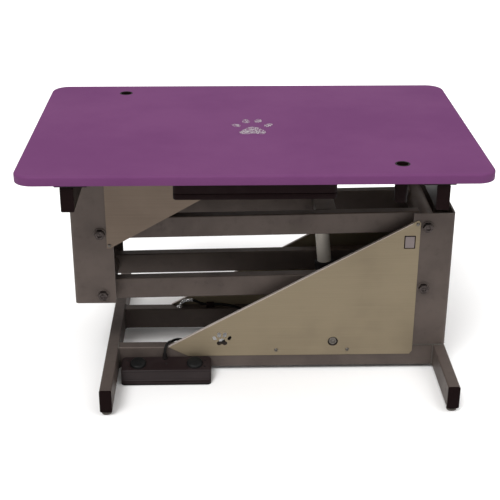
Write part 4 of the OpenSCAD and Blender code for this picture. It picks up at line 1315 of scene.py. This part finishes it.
@dataclass
class EndCaps:
    """Black plugs in the open ends of the feet and the cross tubes."""

    bench: Bench
    wide: float = 0.0254
    tall: float = 0.0508
    thick: float = 0.003
    # Each set: both x, y of the outer faces and z of the middles
    feet: tuple[Pair, float, float] = ((-0.3078, 0.4143), 0.286, 0.0348)
    crosses: tuple[Pair, float, float] = ((-0.356, 0.356), 0.297, 0.4878)

    def build(self) -> None:
        """Builds both sets."""
        self._set("foot_end_caps", "base", "foot_caps", *self.feet)
        self._set("cross_end_caps", "carriage", "cross_caps", *self.crosses)

    def _set(self, name: str, body: str, node: str, xs: Pair, y: float, z: float) -> None:
        """Four caps with outer faces at y in front and behind."""
        places = both_faces([(x, z) for x in xs], y)
        self.bench.dress(self.bench.copies(name, self._cap(), places), body, Finish.CAP, node)

    def _cap(self) -> Piece:
        """A plug whose outer face is at zero and looks up Z: its height runs along Y."""
        b = self.bench
        w, h = self.wide / 2, self.tall / 2
        cap = b.slab("cap", (-w, -h, -self.thick), (w, h, 0), 0.003, 5, ALONG_Z)
        b.bevel(cap, 0.0009, 3, above(-MM / 10))
        b.inset(cap, lambda middle, normal: normal.z > 0.999, 0.0012, 0.0003)
        lip = b.slab(
            "lip", (-w + 0.0021, -h + 0.0021, -0.007), (w - 0.0021, h - 0.0021, -self.thick + 0.0002),
            0.001, 2, ALONG_Z
        )
        return b.joined("cap", cap, lip)


# ---------------------------------------------------------------- control box


@dataclass
class ControlBox:
    """The black box under the top: body on two tabs, cover, inlet and sockets."""

    bench: Bench
    corner: float = 0.008
    seam: float = 0.0009
    slots: int = 11
    slot_pitch: float = 0.007
    slot_ends: Pair = (-0.208, -0.168)
    inlet: Pair = (0.024, 0.0135)
    well: Pair = (0.0135, 0.0085)
    side_x: float = 0.075
    screw_in: float = 0.012

    def build(self) -> None:
        """Builds the body and the cover."""
        self._body()
        self._cover()
        self._inlet()

    def _body(self) -> None:
        """Upper part with its tabs."""
        b = self.bench
        low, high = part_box("control_box")
        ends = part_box("control_box_lid")
        body = b.slab(
            "box_body", (ends[0].x, low.y, low.z + self.seam), (ends[1].x, high.y, high.z - 0.0002),
            self.corner, 6, ALONG_Z
        )
        b.bevel(body, 0.0007, 2, below(low.z + 0.002))
        tabs = b.slab(
            "tabs", (low.x, low.y + 0.012, high.z - 0.003), (high.x, high.y - 0.012, high.z - 0.0002),
            0.006, 4, ALONG_Z
        )
        b.bevel(tabs, 0.0004, 2, below(high.z - 0.0025))
        b.dress(b.joined("box_body", body, tabs), "carriage", Finish.BLACK_PLASTIC, "control_box")

    def _cover(self) -> None:
        """Lower cover: a step at the seam, soft edges, slots and screws."""
        b = self.bench
        low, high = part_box("control_box_lid")
        step, inset = Vector((0.0012, 0.0012, 0)), self.screw_in
        front, rear = self.slot_ends
        cover = b.slab("box_cover", low, (high.x, high.y, high.z - 0.0004), self.corner, 6, ALONG_Z)
        b.bevel(cover, 0.0022, 4, below(low.z + MM / 10))
        b.bevel(cover, 0.0006, 2, above(high.z - 0.0006))
        for i in range(self.slots):
            x = (i - (self.slots - 1) / 2) * self.slot_pitch + self.side_x
            slot = b.block(
                "slot", (x - 0.0014, front, low.z - 0.001), (x + 0.0014, rear, low.z + 0.0015)
            )
            b.carve(cover, slot)
        neck = b.slab(
            "neck", low + step + Vector((0, 0, 0.006)), high - step + Vector((0, 0, 0.002)),
            self.corner - 0.001, 4, ALONG_Z
        )
        b.dress(b.joined("box_cover", cover, neck), "carriage", Finish.BLACK_PLASTIC, "control_box_lid")
        over = Matrix.Rotation(math.pi, 4, "X") @ Matrix.Scale(0.8, 4)
        places = [
            Matrix.Translation((x, y, low.z + 0.0004)) @ over
            for x in (low.x + inset, high.x - inset)
            for y in (low.y + inset, high.y - inset)
        ]
        Fasteners(b).screws("cover_screws", places, "carriage")

    def _inlet(self) -> None:
        """Mains inlet and two round sockets on the rear face."""
        b = self.bench
        low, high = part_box("control_box")
        z = (low.z + high.z) / 2
        w, h = self.inlet
        frame = b.slab(
            "inlet", (-w, high.y - 0.001, z - h), (w, high.y + 0.0022, z + h), 0.004, 4, ALONG_Y
        )
        b.bevel(frame, 0.0006, 2, lambda middle, run: middle.y > high.y + 0.002)
        w, h = self.well
        well = b.slab("well", (-w, high.y - 0.012, z - h), (w, high.y + 0.01, z + h), 0.003, 3, ALONG_Y)
        b.carve(frame, well)
        nuts = []
        for x in (-self.side_x, self.side_x):
            ring = [(0.0045, -0.001), (0.0105, -0.001), (0.0105, 0.0028), (0.0098, 0.0036)]
            ring += [(0.0072, 0.0036), (0.0062, 0.0028), (0.0045, 0.0028)]
            nuts.append(b.moved(b.lathe("ring", ring, 32), along_y(x, high.y, z, False)))
        b.dress(b.joined("box_inlet", frame, *nuts), "carriage", Finish.CAP)
        pins = []
        for x, up in ((-0.007, -0.001), (0.0, 0.003), (0.007, -0.001)):
            foot = (x - 0.001, high.y - 0.0005, z + up - 0.002)
            tip = (x + 0.001, high.y + 0.0012, z + up + 0.002)
            pins.append(b.bevel(b.block("pin", foot, tip), 0.0003, 2))
        b.dress(b.joined("inlet_pins", *pins), "carriage", Finish.ZINC)


# ---------------------------------------------------------------- foot control


@dataclass
class FootControl:
    """The foot control: sloping cover, two domed buttons and the cord's gland."""

    bench: Bench
    deck: float = 0.040
    slope: float = math.radians(14)
    button_in: float = 0.021
    button_gap: float = 0.124
    button_r: float = 0.017
    crown: float = 0.008
    # The low end of the apron: how far in from the edge, and its height
    toe: Pair = (0.005, 0.0085)
    skirt: float = 0.0078
    gland: Pair = (-0.193, -0.114)

    def build(self) -> None:
        """Builds the cover, the buttons and the gland."""
        self.low, self.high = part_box("pedal_cover")
        self._cover()
        for i, name in ((0, "up"), (1, "down")):
            self._button(i, name)
        self._gland()

    def _on_deck(self, i: float) -> Matrix:
        """The frame of a button: on the deck, +Z out of it."""
        middle = (self.low.x + self.high.x) / 2 + (i - 0.5) * self.button_gap
        height = self.high.z - self.button_in * math.tan(self.slope)
        place = Matrix.Translation((middle, self.high.y - self.button_in, height))
        return place @ Matrix.Rotation(self.slope, 4, "X")

    def _cover(self) -> None:
        """The moulded cover with a sunk apron, collars and two button wells."""
        b, low, high = self.bench, self.low, self.high
        width = high.x - low.x
        bend_z = high.z - self.deck * math.tan(self.slope)
        toe_in, toe_z = self.toe
        outline = [
            (low.y, low.z), (high.y, low.z), (high.y, high.z), (high.y - self.deck, bend_z),
            (low.y + toe_in, toe_z), (low.y, self.skirt),
        ]
        cover = b.prism("pedal_shell", outline, width)
        swap = Matrix(((0, 0, 1, low.x), (1, 0, 0, 0), (0, 1, 0, 0), (0, 0, 0, 1)))
        b.moved(cover, swap)
        plan = b.slab(
            "plan", (low.x, low.y, low.z - 0.01), (high.x, high.y, high.z + 0.01), 0.009, 6, ALONG_Z
        )
        b.carve(cover, plan, "INTERSECT")
        b.bevel(cover, 0.0012, 3)
        apron = Vector((0, toe_z - bend_z, high.y - self.deck - low.y - toe_in)).normalized()
        b.inset(cover, lambda middle, normal: normal.dot(apron) > 0.9999, 0.0032, 0.0009)
        for i in (0, 1):
            well = b.rod("well", self.button_r + 0.0004, -0.0095, 0.01, 48)
            b.carve(cover, b.moved(well, self._on_deck(i)))
        r = self.button_r
        collar = [
            (r + 0.0005, -0.002), (r + 0.0028, -0.002), (r + 0.0028, 0.0004), (r + 0.0022, 0.0013)
        ]
        collar += [(r + 0.0011, 0.0014), (r + 0.0005, 0.0008)]
        collars = b.copies(
            "collars", b.lathe("collar", collar, 48), [self._on_deck(0), self._on_deck(1)]
        )
        shell = b.joined("pedal_shell", cover, collars)
        b.dress(shell, "base", Finish.BLACK_PLASTIC, "pedal_cover", recipe=PEDAL_RECIPE)
        spots = [
            self._on_deck(i) @ Matrix.Translation((0, y, 0)) for i in (-0.18, 1.18)
            for y in (-0.010, 0.010)
        ]
        spots.append(self._on_deck(0.5))
        places = [spot @ Matrix.Scale(0.62, 4) for spot in spots]
        Fasteners(b).screws("pedal_screws", places, "base", finish=Finish.BLACK_PAINT)

    def _button(self, i: int, name: str) -> None:
        """A domed button with a raised arrow."""
        b, r, top = self.bench, self.button_r, self.crown
        profile = [(0, -0.0047), (r, -0.0047), (r, 0.0036), (r - 0.0004, 0.0049), (r - 0.0014, 0.0060)]
        profile += [(r - 0.0034, 0.0069), (r - 0.0065, 0.0075), (r * 0.34, top - 0.0001), (0, top)]
        button = b.lathe("button", profile, 48)
        point = 1 if name == "up" else -1
        mark = [(-0.0045, -0.003 * point), (0.0045, -0.003 * point), (0, 0.005 * point)]
        arrow = b.prism("arrow", mark[::point], 0.0009)
        b.bevel(arrow, 0.00025, 2)
        b.moved(arrow, Matrix.Translation((0, 0, top - 0.0006)))
        piece = b.joined(f"foot_button_{name}", button, arrow)
        b.moved(piece, self._on_deck(i))
        b.dress(piece, f"button_{name}", Finish.BLACK_PLASTIC, f"button_{name}", recipe=BUTTON_RECIPE)

    def _gland(self) -> None:
        """A tapered strain relief with four grooves."""
        b = self.bench
        low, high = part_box("pedal_gland")
        bore, foot, lip = 0.00303, 0.0058, high.z
        start = self.high.z + 0.0003
        profile = [
            (bore, low.z), (0.0039, low.z), (0.0039, start), (foot, start), (foot, start + 0.0016)
        ]
        ribs = 4
        for i in range(ribs):
            z = start + 0.0022 + i * (lip - start - 0.003) / ribs
            r = foot - 0.0005 - 0.0011 * i / ribs
            profile += [(r - 0.0008, z), (r - 0.0008, z + 0.0007), (r, z + 0.0011), (r, z + 0.0019)]
        profile += [(bore + 0.0008, lip), (bore, lip)]
        gland = b.moved(
            b.lathe("pedal_strain_relief", profile, 32), Matrix.Translation((*self.gland, 0))
        )
        b.dress(gland, "base", Finish.RUBBER, "pedal_gland")


# ---------------------------------------------------------------- actuator


@dataclass
class Actuator:
    """Gear case, motor and outer tube of the electric actuator."""

    bench: Bench
    pin: Pair = (0.154, 0.321)
    foot: Pair = (0.178, 0.071)
    tube_r: float = 0.0155
    tube_top: float = -0.022
    tube_low: float = -0.206
    bore: float = 0.01108
    collar_r: float = 0.022
    collar_top: float = -0.100
    grooves: int = 4
    case_up: Pair = (0.030, 0.071)
    case_w: float = 0.114
    case_d: float = 0.062
    case_r: float = 0.014
    motor_x: float = 0.054
    motor_r: float = 0.028
    motor_h: float = 0.066
    eye_w: float = 0.024
    eye_r: float = 0.022
    eye_bore: float = 0.01195

    def build(self) -> None:
        """Builds the three pieces in a frame that has the pin at its origin."""
        run = Vector((self.pin[0] - self.foot[0], self.pin[1] - self.foot[1]))
        self.length = run.length
        lean = Matrix.Rotation(math.atan2(run.x, run.y), 4, "Y")
        self.place = Matrix.Translation((self.pin[0], 0, self.pin[1])) @ lean
        self.low, self.high = (up - self.length for up in self.case_up)
        self._case()
        self._motor()
        self._tube()

    def _case(self) -> None:
        """Cast case with a parting groove, screws, a ringed collar and its eye."""
        b, low, high = self.bench, self.low, self.high
        x0, cut = self.motor_x / 2 - self.case_w / 2, 0.001
        x1 = x0 + self.case_w
        case = b.slab(
            "gear_case", (x0, -self.case_d / 2, low), (x1, self.case_d / 2, high), self.case_r, 8,
            ALONG_Z
        )
        b.bevel(case, 0.0016, 3)
        seam = (low + high) / 2 + 0.006
        ring = b.block(
            "seam", (x0 - 0.01, -self.case_d, seam - 0.0006), (x1 + 0.01, self.case_d, seam + 0.0006)
        )
        core_low = (x0 + cut, cut - self.case_d / 2, low)
        core_high = (x1 - cut, self.case_d / 2 - cut, high)
        core = b.slab("core", core_low, core_high, self.case_r - cut, 8, ALONG_Z)
        b.carve(case, b.carve(ring, core))
        r, top = self.collar_r, self.collar_top
        mouth = self.tube_r + 0.0001
        collar = [(0, high - 0.003), (r + 0.004, high - 0.003), (r + 0.004, high + 0.0015)]
        collar.append((r + 0.001, high + 0.0045))
        for i in range(self.grooves):
            z = high + 0.012 + i * 0.014
            collar += [(r, z), (r - 0.0012, z + 0.0008), (r - 0.0012, z + 0.0032), (r, z + 0.004)]
        collar += [
            (r, top - 0.002), (r - 0.0016, top), (mouth, top), (mouth, top - 0.006), (0, top - 0.006)
        ]
        neck = b.lathe("collar", collar, 44)
        lug = b.block(
            "lug", (-self.eye_r, -self.eye_w / 2, -self.length),
            (self.eye_r, self.eye_w / 2, low + 0.004)
        )
        eye = b.rod("eye", self.eye_r, -self.eye_w / 2, self.eye_w / 2, 48)
        b.carve(lug, b.moved(eye, along_y(0, 0, -self.length)), "UNION")
        b.bevel(lug, 0.0012, 3)
        hole = b.rod("hole", self.eye_bore, -0.03, 0.03, 40)
        b.carve(lug, b.moved(hole, along_y(0, 0, -self.length)))
        whole = b.joined("gear_case", case, neck, lug)
        b.dress(b.moved(whole, self.place), "actuator", Finish.CASE, "gear_housing")
        corners = [(x, s * 0.022) for x in (x0 + 0.009, x1 - 0.009) for s in (-1, 1)]
        places = [self.place @ Matrix.Translation((x, y, high)) for x, y in corners]
        Fasteners(b).screws("gear_case_screws", places, "actuator")

    def _motor(self) -> None:
        """Motor can with a rolled rim, an end bell and two long screws."""
        b, r, base = self.bench, self.motor_r, self.high
        end = base + self.motor_h
        can = [(0, base - 0.002), (r - 0.0022, base - 0.002), (r - 0.0022, base + 0.004)]
        can += [(r, base + 0.0048), (r, end - 0.012), (r - 0.0009, end - 0.0112)]
        can += [
            (r - 0.0009, end - 0.0094), (r, end - 0.0086), (r, end - 0.003), (r - 0.001, end - 0.0008)
        ]
        can += [
            (r - 0.003, end), (r - 0.005, end), (r - 0.005, end + 0.005), (r - 0.0062, end + 0.0072)
        ]
        can += [
            (r - 0.0085, end + 0.008), (0.006, end + 0.008), (0.0052, end + 0.007), (0, end + 0.007)
        ]
        motor = b.lathe("motor_can", can, 56)
        place = self.place @ Matrix.Translation((self.motor_x, 0, 0))
        b.dress(b.moved(motor, place), "actuator", Finish.CASE, "actuator_motor")
        spots = [
            Matrix.Translation((0, s * 0.0145, end + 0.008)) @ Matrix.Scale(0.75, 4)
            for s in (-1, 1)
        ]
        Fasteners(b).screws("motor_screws", [place @ spot for spot in spots], "actuator")

    def _tube(self) -> None:
        """Painted outer tube with a scraper ring in its mouth."""
        b, r, top, bore = self.bench, self.tube_r, self.tube_top, self.bore
        wall = [
            (bore + 0.0012, self.tube_low), (r, self.tube_low), (r, top - 0.0009), (r - 0.0009, top)
        ]
        wall += [(bore + 0.0026, top), (bore + 0.0026, top - 0.004), (bore + 0.0012, top - 0.004)]
        tube = b.lathe("outer_tube", wall, 48)
        b.dress(b.moved(tube, self.place), "actuator", Finish.TUBE, "actuator_tube")
        ring = [(bore, top - 0.0038), (bore + 0.0025, top - 0.0038), (bore + 0.0025, top + 0.0002)]
        ring += [(bore + 0.0016, top + 0.0010), (bore + 0.0003, top + 0.0016), (bore, top + 0.0010)]
        scraper = b.lathe("scraper_ring", ring, 44)
        b.dress(b.moved(scraper, self.place), "actuator", Finish.RUBBER)


# ---------------------------------------------------------------- cord


@dataclass
class ControlCord:
    """The cord of the foot control, coiled behind the guard and led into the rear beam."""

    bench: Bench
    thick: float = 0.006
    length: float = 1.563
    lift: float = 0.0009
    centre: Pair = (-0.030, 0.0)
    radii: tuple[float, float, float] = (0.0394, 0.0332, 0.0270)
    jog: Pair = (180.0, 225.0)
    # The way to the coil and on from it, in millimetres
    near: tuple[Point, ...] = (
        (-193, -114, 49), (-192, -113, 58), (-190, -110, 66), (-186, -103, 70), (-178, -93, 69),
        (-168, -82, 67), (-156, -70, 60), (-142, -58, 44), (-126, -48, 28), (-108, -40.5, 15),
        (-86, -38, 8), (-60, -38.8, 4.6),
    )
    far: tuple[Point, ...] = (
        (9.9, 14, 10.5), (12, 28, 15), (14, 41, 26), (11, 53, 40), (1, 62, 53), (-15, 69, 61.5),
        (-34, 76, 65.5), (-54, 84, 66.5), (-70, 89, 66.3), (-84, 90.8, 66), (-104, 90.8, 66),
        (-118, 90.8, 69), (-130, 90.8, 75), (-142, 90.8, 77), (-154, 90.8, 75), (-162, 90.8, 69),
        (-166, 90.8, 61),
    )
    # Wire radius, guarded length and pitch
    spring: Point = (0.0005, 0.038, 0.0013)
    clip_x: float = -0.094
    entry_x: float = -0.166
    row_y: float = 0.0908
    clip_z: float = 0.066

    def build(self) -> None:
        """Builds the cord, then what sits on it and what holds it."""
        points = [tuple(v * MM for v in p) for p in self.near] + self._coil()
        points += [tuple(v * MM for v in p) for p in self.far]
        route = smooth_path(points, 0.003)
        cord = self._strand("control_cord", route, self.thick / 2, 3)
        self.bench.dress(
            cord, "base", Finish.RUBBER, "pedal_cord", "cord_coil", "harness_cable", recipe=CORD_RECIPE
        )
        log.info("cord of %.4f m", path_length(route))
        extras = [self._tie(58.0, "a"), self._tie(262.0, "b"), self._spring(route)]
        self._clip()

    def _strand(self, name: str, route: Sequence[Vector], radius: float, rounding: int) -> Piece:
        """A round strand along a path, as a curve of one open spline."""
        data = bpy.data.curves.new(name, "CURVE")
        data.dimensions, data.bevel_depth, data.bevel_resolution = "3D", radius, rounding
        data.use_fill_caps = True
        spline = data.splines.new("POLY")
        spline.points.add(len(route) - 1)
        for knot, place in zip(spline.points, route):
            knot.co = (*place, 1.0)
        spline.use_smooth = True
        strand = bpy.data.objects.new(name, data)
        bpy.context.scene.collection.objects.link(strand)
        return strand

    def _coil(self) -> list[Point]:
        """Three turns out to in, then three on top of them, in to out."""
        wide, mid, slim = self.radii
        low = self.thick / 2 + self.lift
        high = low + self.thick + 0.00005
        stops = [(wide, low), (mid, low), (slim, low), (slim, high), (mid, high), (wide, high)]
        points = []
        for turn in range(-90, 1801, 15):
            done = (turn - self.jog[0]) / 360.0
            step = max(0, math.floor(done) + 1)
            part = (done - math.floor(done)) * 360.0 / (self.jog[1] - self.jog[0])
            if turn < self.jog[0]:
                step, part = 0, 1.0
            (r0, z0), (r1, z1) = stops[max(0, step - 1)], stops[min(step, 5)]
            ease = min(1.0, part) ** 2 * (3 - 2 * min(1.0, part))
            r, z = r0 + (r1 - r0) * ease, z0 + (z1 - z0) * ease
            if step == 3 and part < 1:
                r -= 0.0026 * math.sin(math.pi * part)
            angle = math.radians(turn)
            points.append(
                (self.centre[0] + r * math.cos(angle), self.centre[1] + r * math.sin(angle), z)
            )
        return points

    def _tie(self, turn: float, mark: str) -> Piece:
        """A tie round the turns of the coil, with its head on top."""
        b, half, t = self.bench, self.thick / 2, self.lift
        inner, outer = self.radii[2] - half - 0.0001, self.radii[0] + half + 0.0001
        top = t + 2 * self.thick + 0.0002
        band = b.slab(
            "band", (inner - t, -0.0014, 0.0), (outer + t, 0.0014, top + t), 0.0026, 5, ALONG_Y
        )
        gap = b.slab("gap", (inner, -0.01, t * 0.98), (outer, 0.01, top), 0.0019, 5, ALONG_Y)
        b.carve(band, gap)
        head = b.block(
            "head", (outer - 0.011, -0.0024, top + t * 0.5), (outer - 0.0065, 0.0024, top + 0.0042)
        )
        b.bevel(head, 0.0005, 3)
        tail = b.block(
            "tail", (outer - 0.0093, -0.0012, top + 0.003), (outer - 0.0083, 0.0012, top + 0.0072)
        )
        b.bevel(tail, 0.0003, 2)
        tie = b.joined(f"cord_tie_{mark}", band, head, tail)
        place = Matrix.Translation((*self.centre, 0)) @ Matrix.Rotation(math.radians(turn), 4, "Z")
        return b.dress(b.moved(tie, place), "base", Finish.CAP)

    def _spring(self, route: list[Vector]) -> Piece:
        """A bright wire spring that guards the last bend before the beam."""
        b, r = self.bench, self.thick / 2 + 0.00045
        wire, guard, pitch = self.spring
        total = path_length(route)
        rings: list[Vector] = []
        walked = 0.0
        for here, there in zip(route, route[1:]):
            way = there - here
            if total - walked < guard and here.z > FOOT_TOP + 0.003:
                ahead = way.normalized()
                side = Vector((0, 1, 0))
                across = ahead.cross(side).normalized()
                steps = max(2, round(way.length / pitch * 12))
                for i in range(steps):
                    turn = 2 * math.pi * (walked + way.length * i / steps) / pitch
                    rings.append(
                        here + way * (i / steps) + (side * math.cos(turn) + across * math.sin(turn)) * r
                    )
            walked += way.length
        piece = self._strand("cord_spring", rings, wire, 1)
        b.only(piece)
        bpy.ops.object.convert(target="MESH")
        return b.dress(piece, "base", Finish.CHROME, angle=60)

    def _clip(self) -> None:
        """The saddle clip, and the plated ring where the cord enters the beam."""
        b = self.bench
        up = self.clip_z - FOOT_TOP
        arch = arc((0, up), 0.0054, -20, 200, 18)
        outline = [
            (0.008, 0), (0.008, 0.0018), (0.0064, 0.0023), *arch, (-0.0064, 0.0023), (-0.008, 0.0018),
            (-0.008, 0)
        ]
        clip = b.prism("cord_clip", outline, 0.018)
        swap = Matrix(
            ((0, 0, 1, self.clip_x - 0.009), (1, 0, 0, self.row_y), (0, 1, 0, FOOT_TOP), (0, 0, 0, 1))
        )
        b.moved(clip, swap)
        b.bevel(clip, 0.0005, 2)
        bore = b.rod("bore", 0.0034, -0.02, 0.02, 32)
        along_cord = Matrix.Rotation(math.pi / 2, 4, "Y")
        place = Matrix.Translation((self.clip_x, self.row_y, self.clip_z))
        b.carve(clip, b.moved(bore, place @ along_cord))
        r = self.thick / 2
        ring = [
            (r + 0.0004, -0.005), (r + 0.0018, -0.005), (r + 0.0018, 0), (r + 0.0049, 0),
            (r + 0.005, 0.0006)
        ]
        ring += [(r + 0.0042, 0.0022), (r + 0.0026, 0.0033), (r + 0.0012, 0.0035), (r + 0.0004, 0.0028)]
        grommet = b.moved(
            b.lathe("ring", ring, 40), Matrix.Translation((self.entry_x, self.row_y, FOOT_TOP))
        )
        grommet.name = "cord_grommet"
        b.dress(clip, "base", Finish.BLACK_PLASTIC, "cable_clips")
        b.dress(grommet, "base", Finish.CHROME)


# ---------------------------------------------------------------- studio


@dataclass
class Studio:
    """Floor, lights and camera."""

    lens: float = 78.75
    sensor: float = 36.0
    pitch: float = 0.42650
    yaw: float = 0.02741
    roll: float = 0.00334
    eye: Point = (-0.06357, -2.21682, 1.25442)
    floor_size: float = 14.0
    floor_drop: float = 0.0002
    pale: Colour = rgb(0.90, 0.90, 0.90)
    room: Colour = rgb(1.0, 0.985, 0.975)
    room_power: float = 0.44
    lamps: tuple[tuple[str, Point, float, float], ...] = (
        ("key", (-0.55, -1.0, 1.55), 28.0, 2.5),
        ("fill", (0.9, -0.8, 1.7), 45.0, 1.0),
        ("rear", (0.1, 0.9, 2.4), 40.0, 1.0),
    )

    def build(self) -> None:
        """Sets the floor, the camera and the lights."""
        self._floor()
        self._camera()
        for lamp in self.lamps:
            self._light(*lamp)
        world = bpy.data.worlds.new("room")
        world.use_nodes = True
        air = world.node_tree.nodes["Background"].inputs
        air["Color"].default_value, air["Strength"].default_value = self.room, self.room_power
        bpy.context.scene.world = world
        bpy.context.scene.view_settings.view_transform = "Standard"

    def _floor(self) -> None:
        """A plain pale floor."""
        bpy.ops.object.select_all(action="DESELECT")
        bpy.ops.mesh.primitive_plane_add(size=self.floor_size, location=(0, 0, -self.floor_drop))
        floor = bpy.context.view_layer.objects.active
        floor.name = "studio_floor"
        floor.data.materials.append(Shader("pale_floor").surface(Base_Color=self.pale, Roughness=0.8))

    def _camera(self) -> None:
        """The camera, from its eye point and three angles."""
        cp, sp = math.cos(self.pitch), math.sin(self.pitch)
        cy, sy = math.cos(self.yaw), math.sin(self.yaw)
        ahead = Vector((sy * cp, cy * cp, -sp))
        right = Vector((cy, -sy, 0.0))
        up = right.cross(ahead)
        cr, sr = math.cos(self.roll), math.sin(self.roll)
        right, up = cr * right + sr * up, -sr * right + cr * up
        data = bpy.data.cameras.new("view")
        data.lens, data.sensor_width = self.lens, self.sensor
        camera = bpy.data.objects.new("view", data)
        bpy.context.scene.collection.objects.link(camera)
        turn = Matrix((right, up, -ahead)).transposed().to_4x4()
        camera.matrix_world = Matrix.Translation(self.eye) @ turn
        bpy.context.scene.camera = camera

    def _light(self, name: str, source: Point, spread: float, power: float) -> None:
        """A distant soft light that comes from a direction, its spread in degrees."""
        data = bpy.data.lights.new(name, "SUN")
        data.angle, data.energy = math.radians(spread), power
        lamp = bpy.data.objects.new(name, data)
        bpy.context.scene.collection.objects.link(lamp)
        lamp.matrix_world = Vector(source).to_track_quat("Z", "Y").to_matrix().to_4x4()


def main() -> None:
    """Builds the whole table round its frame."""
    logging.basicConfig(level=logging.INFO, format="%(name)s: %(message)s")
    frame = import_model()
    bench = Bench(Paintbox())
    Studio().build()
    ControlCord(bench).build()
    CarriedNodes(bench, frame["nodes"]).dress()
    for kind in (
        TableTop, ControlBox, Guards, Welds, Fasteners, Levellers, EndCaps, FootControl, Actuator
    ):
        kind(bench).build()
        log.info("%s is built", kind.__name__)


if __name__ == "__main__":
    main()
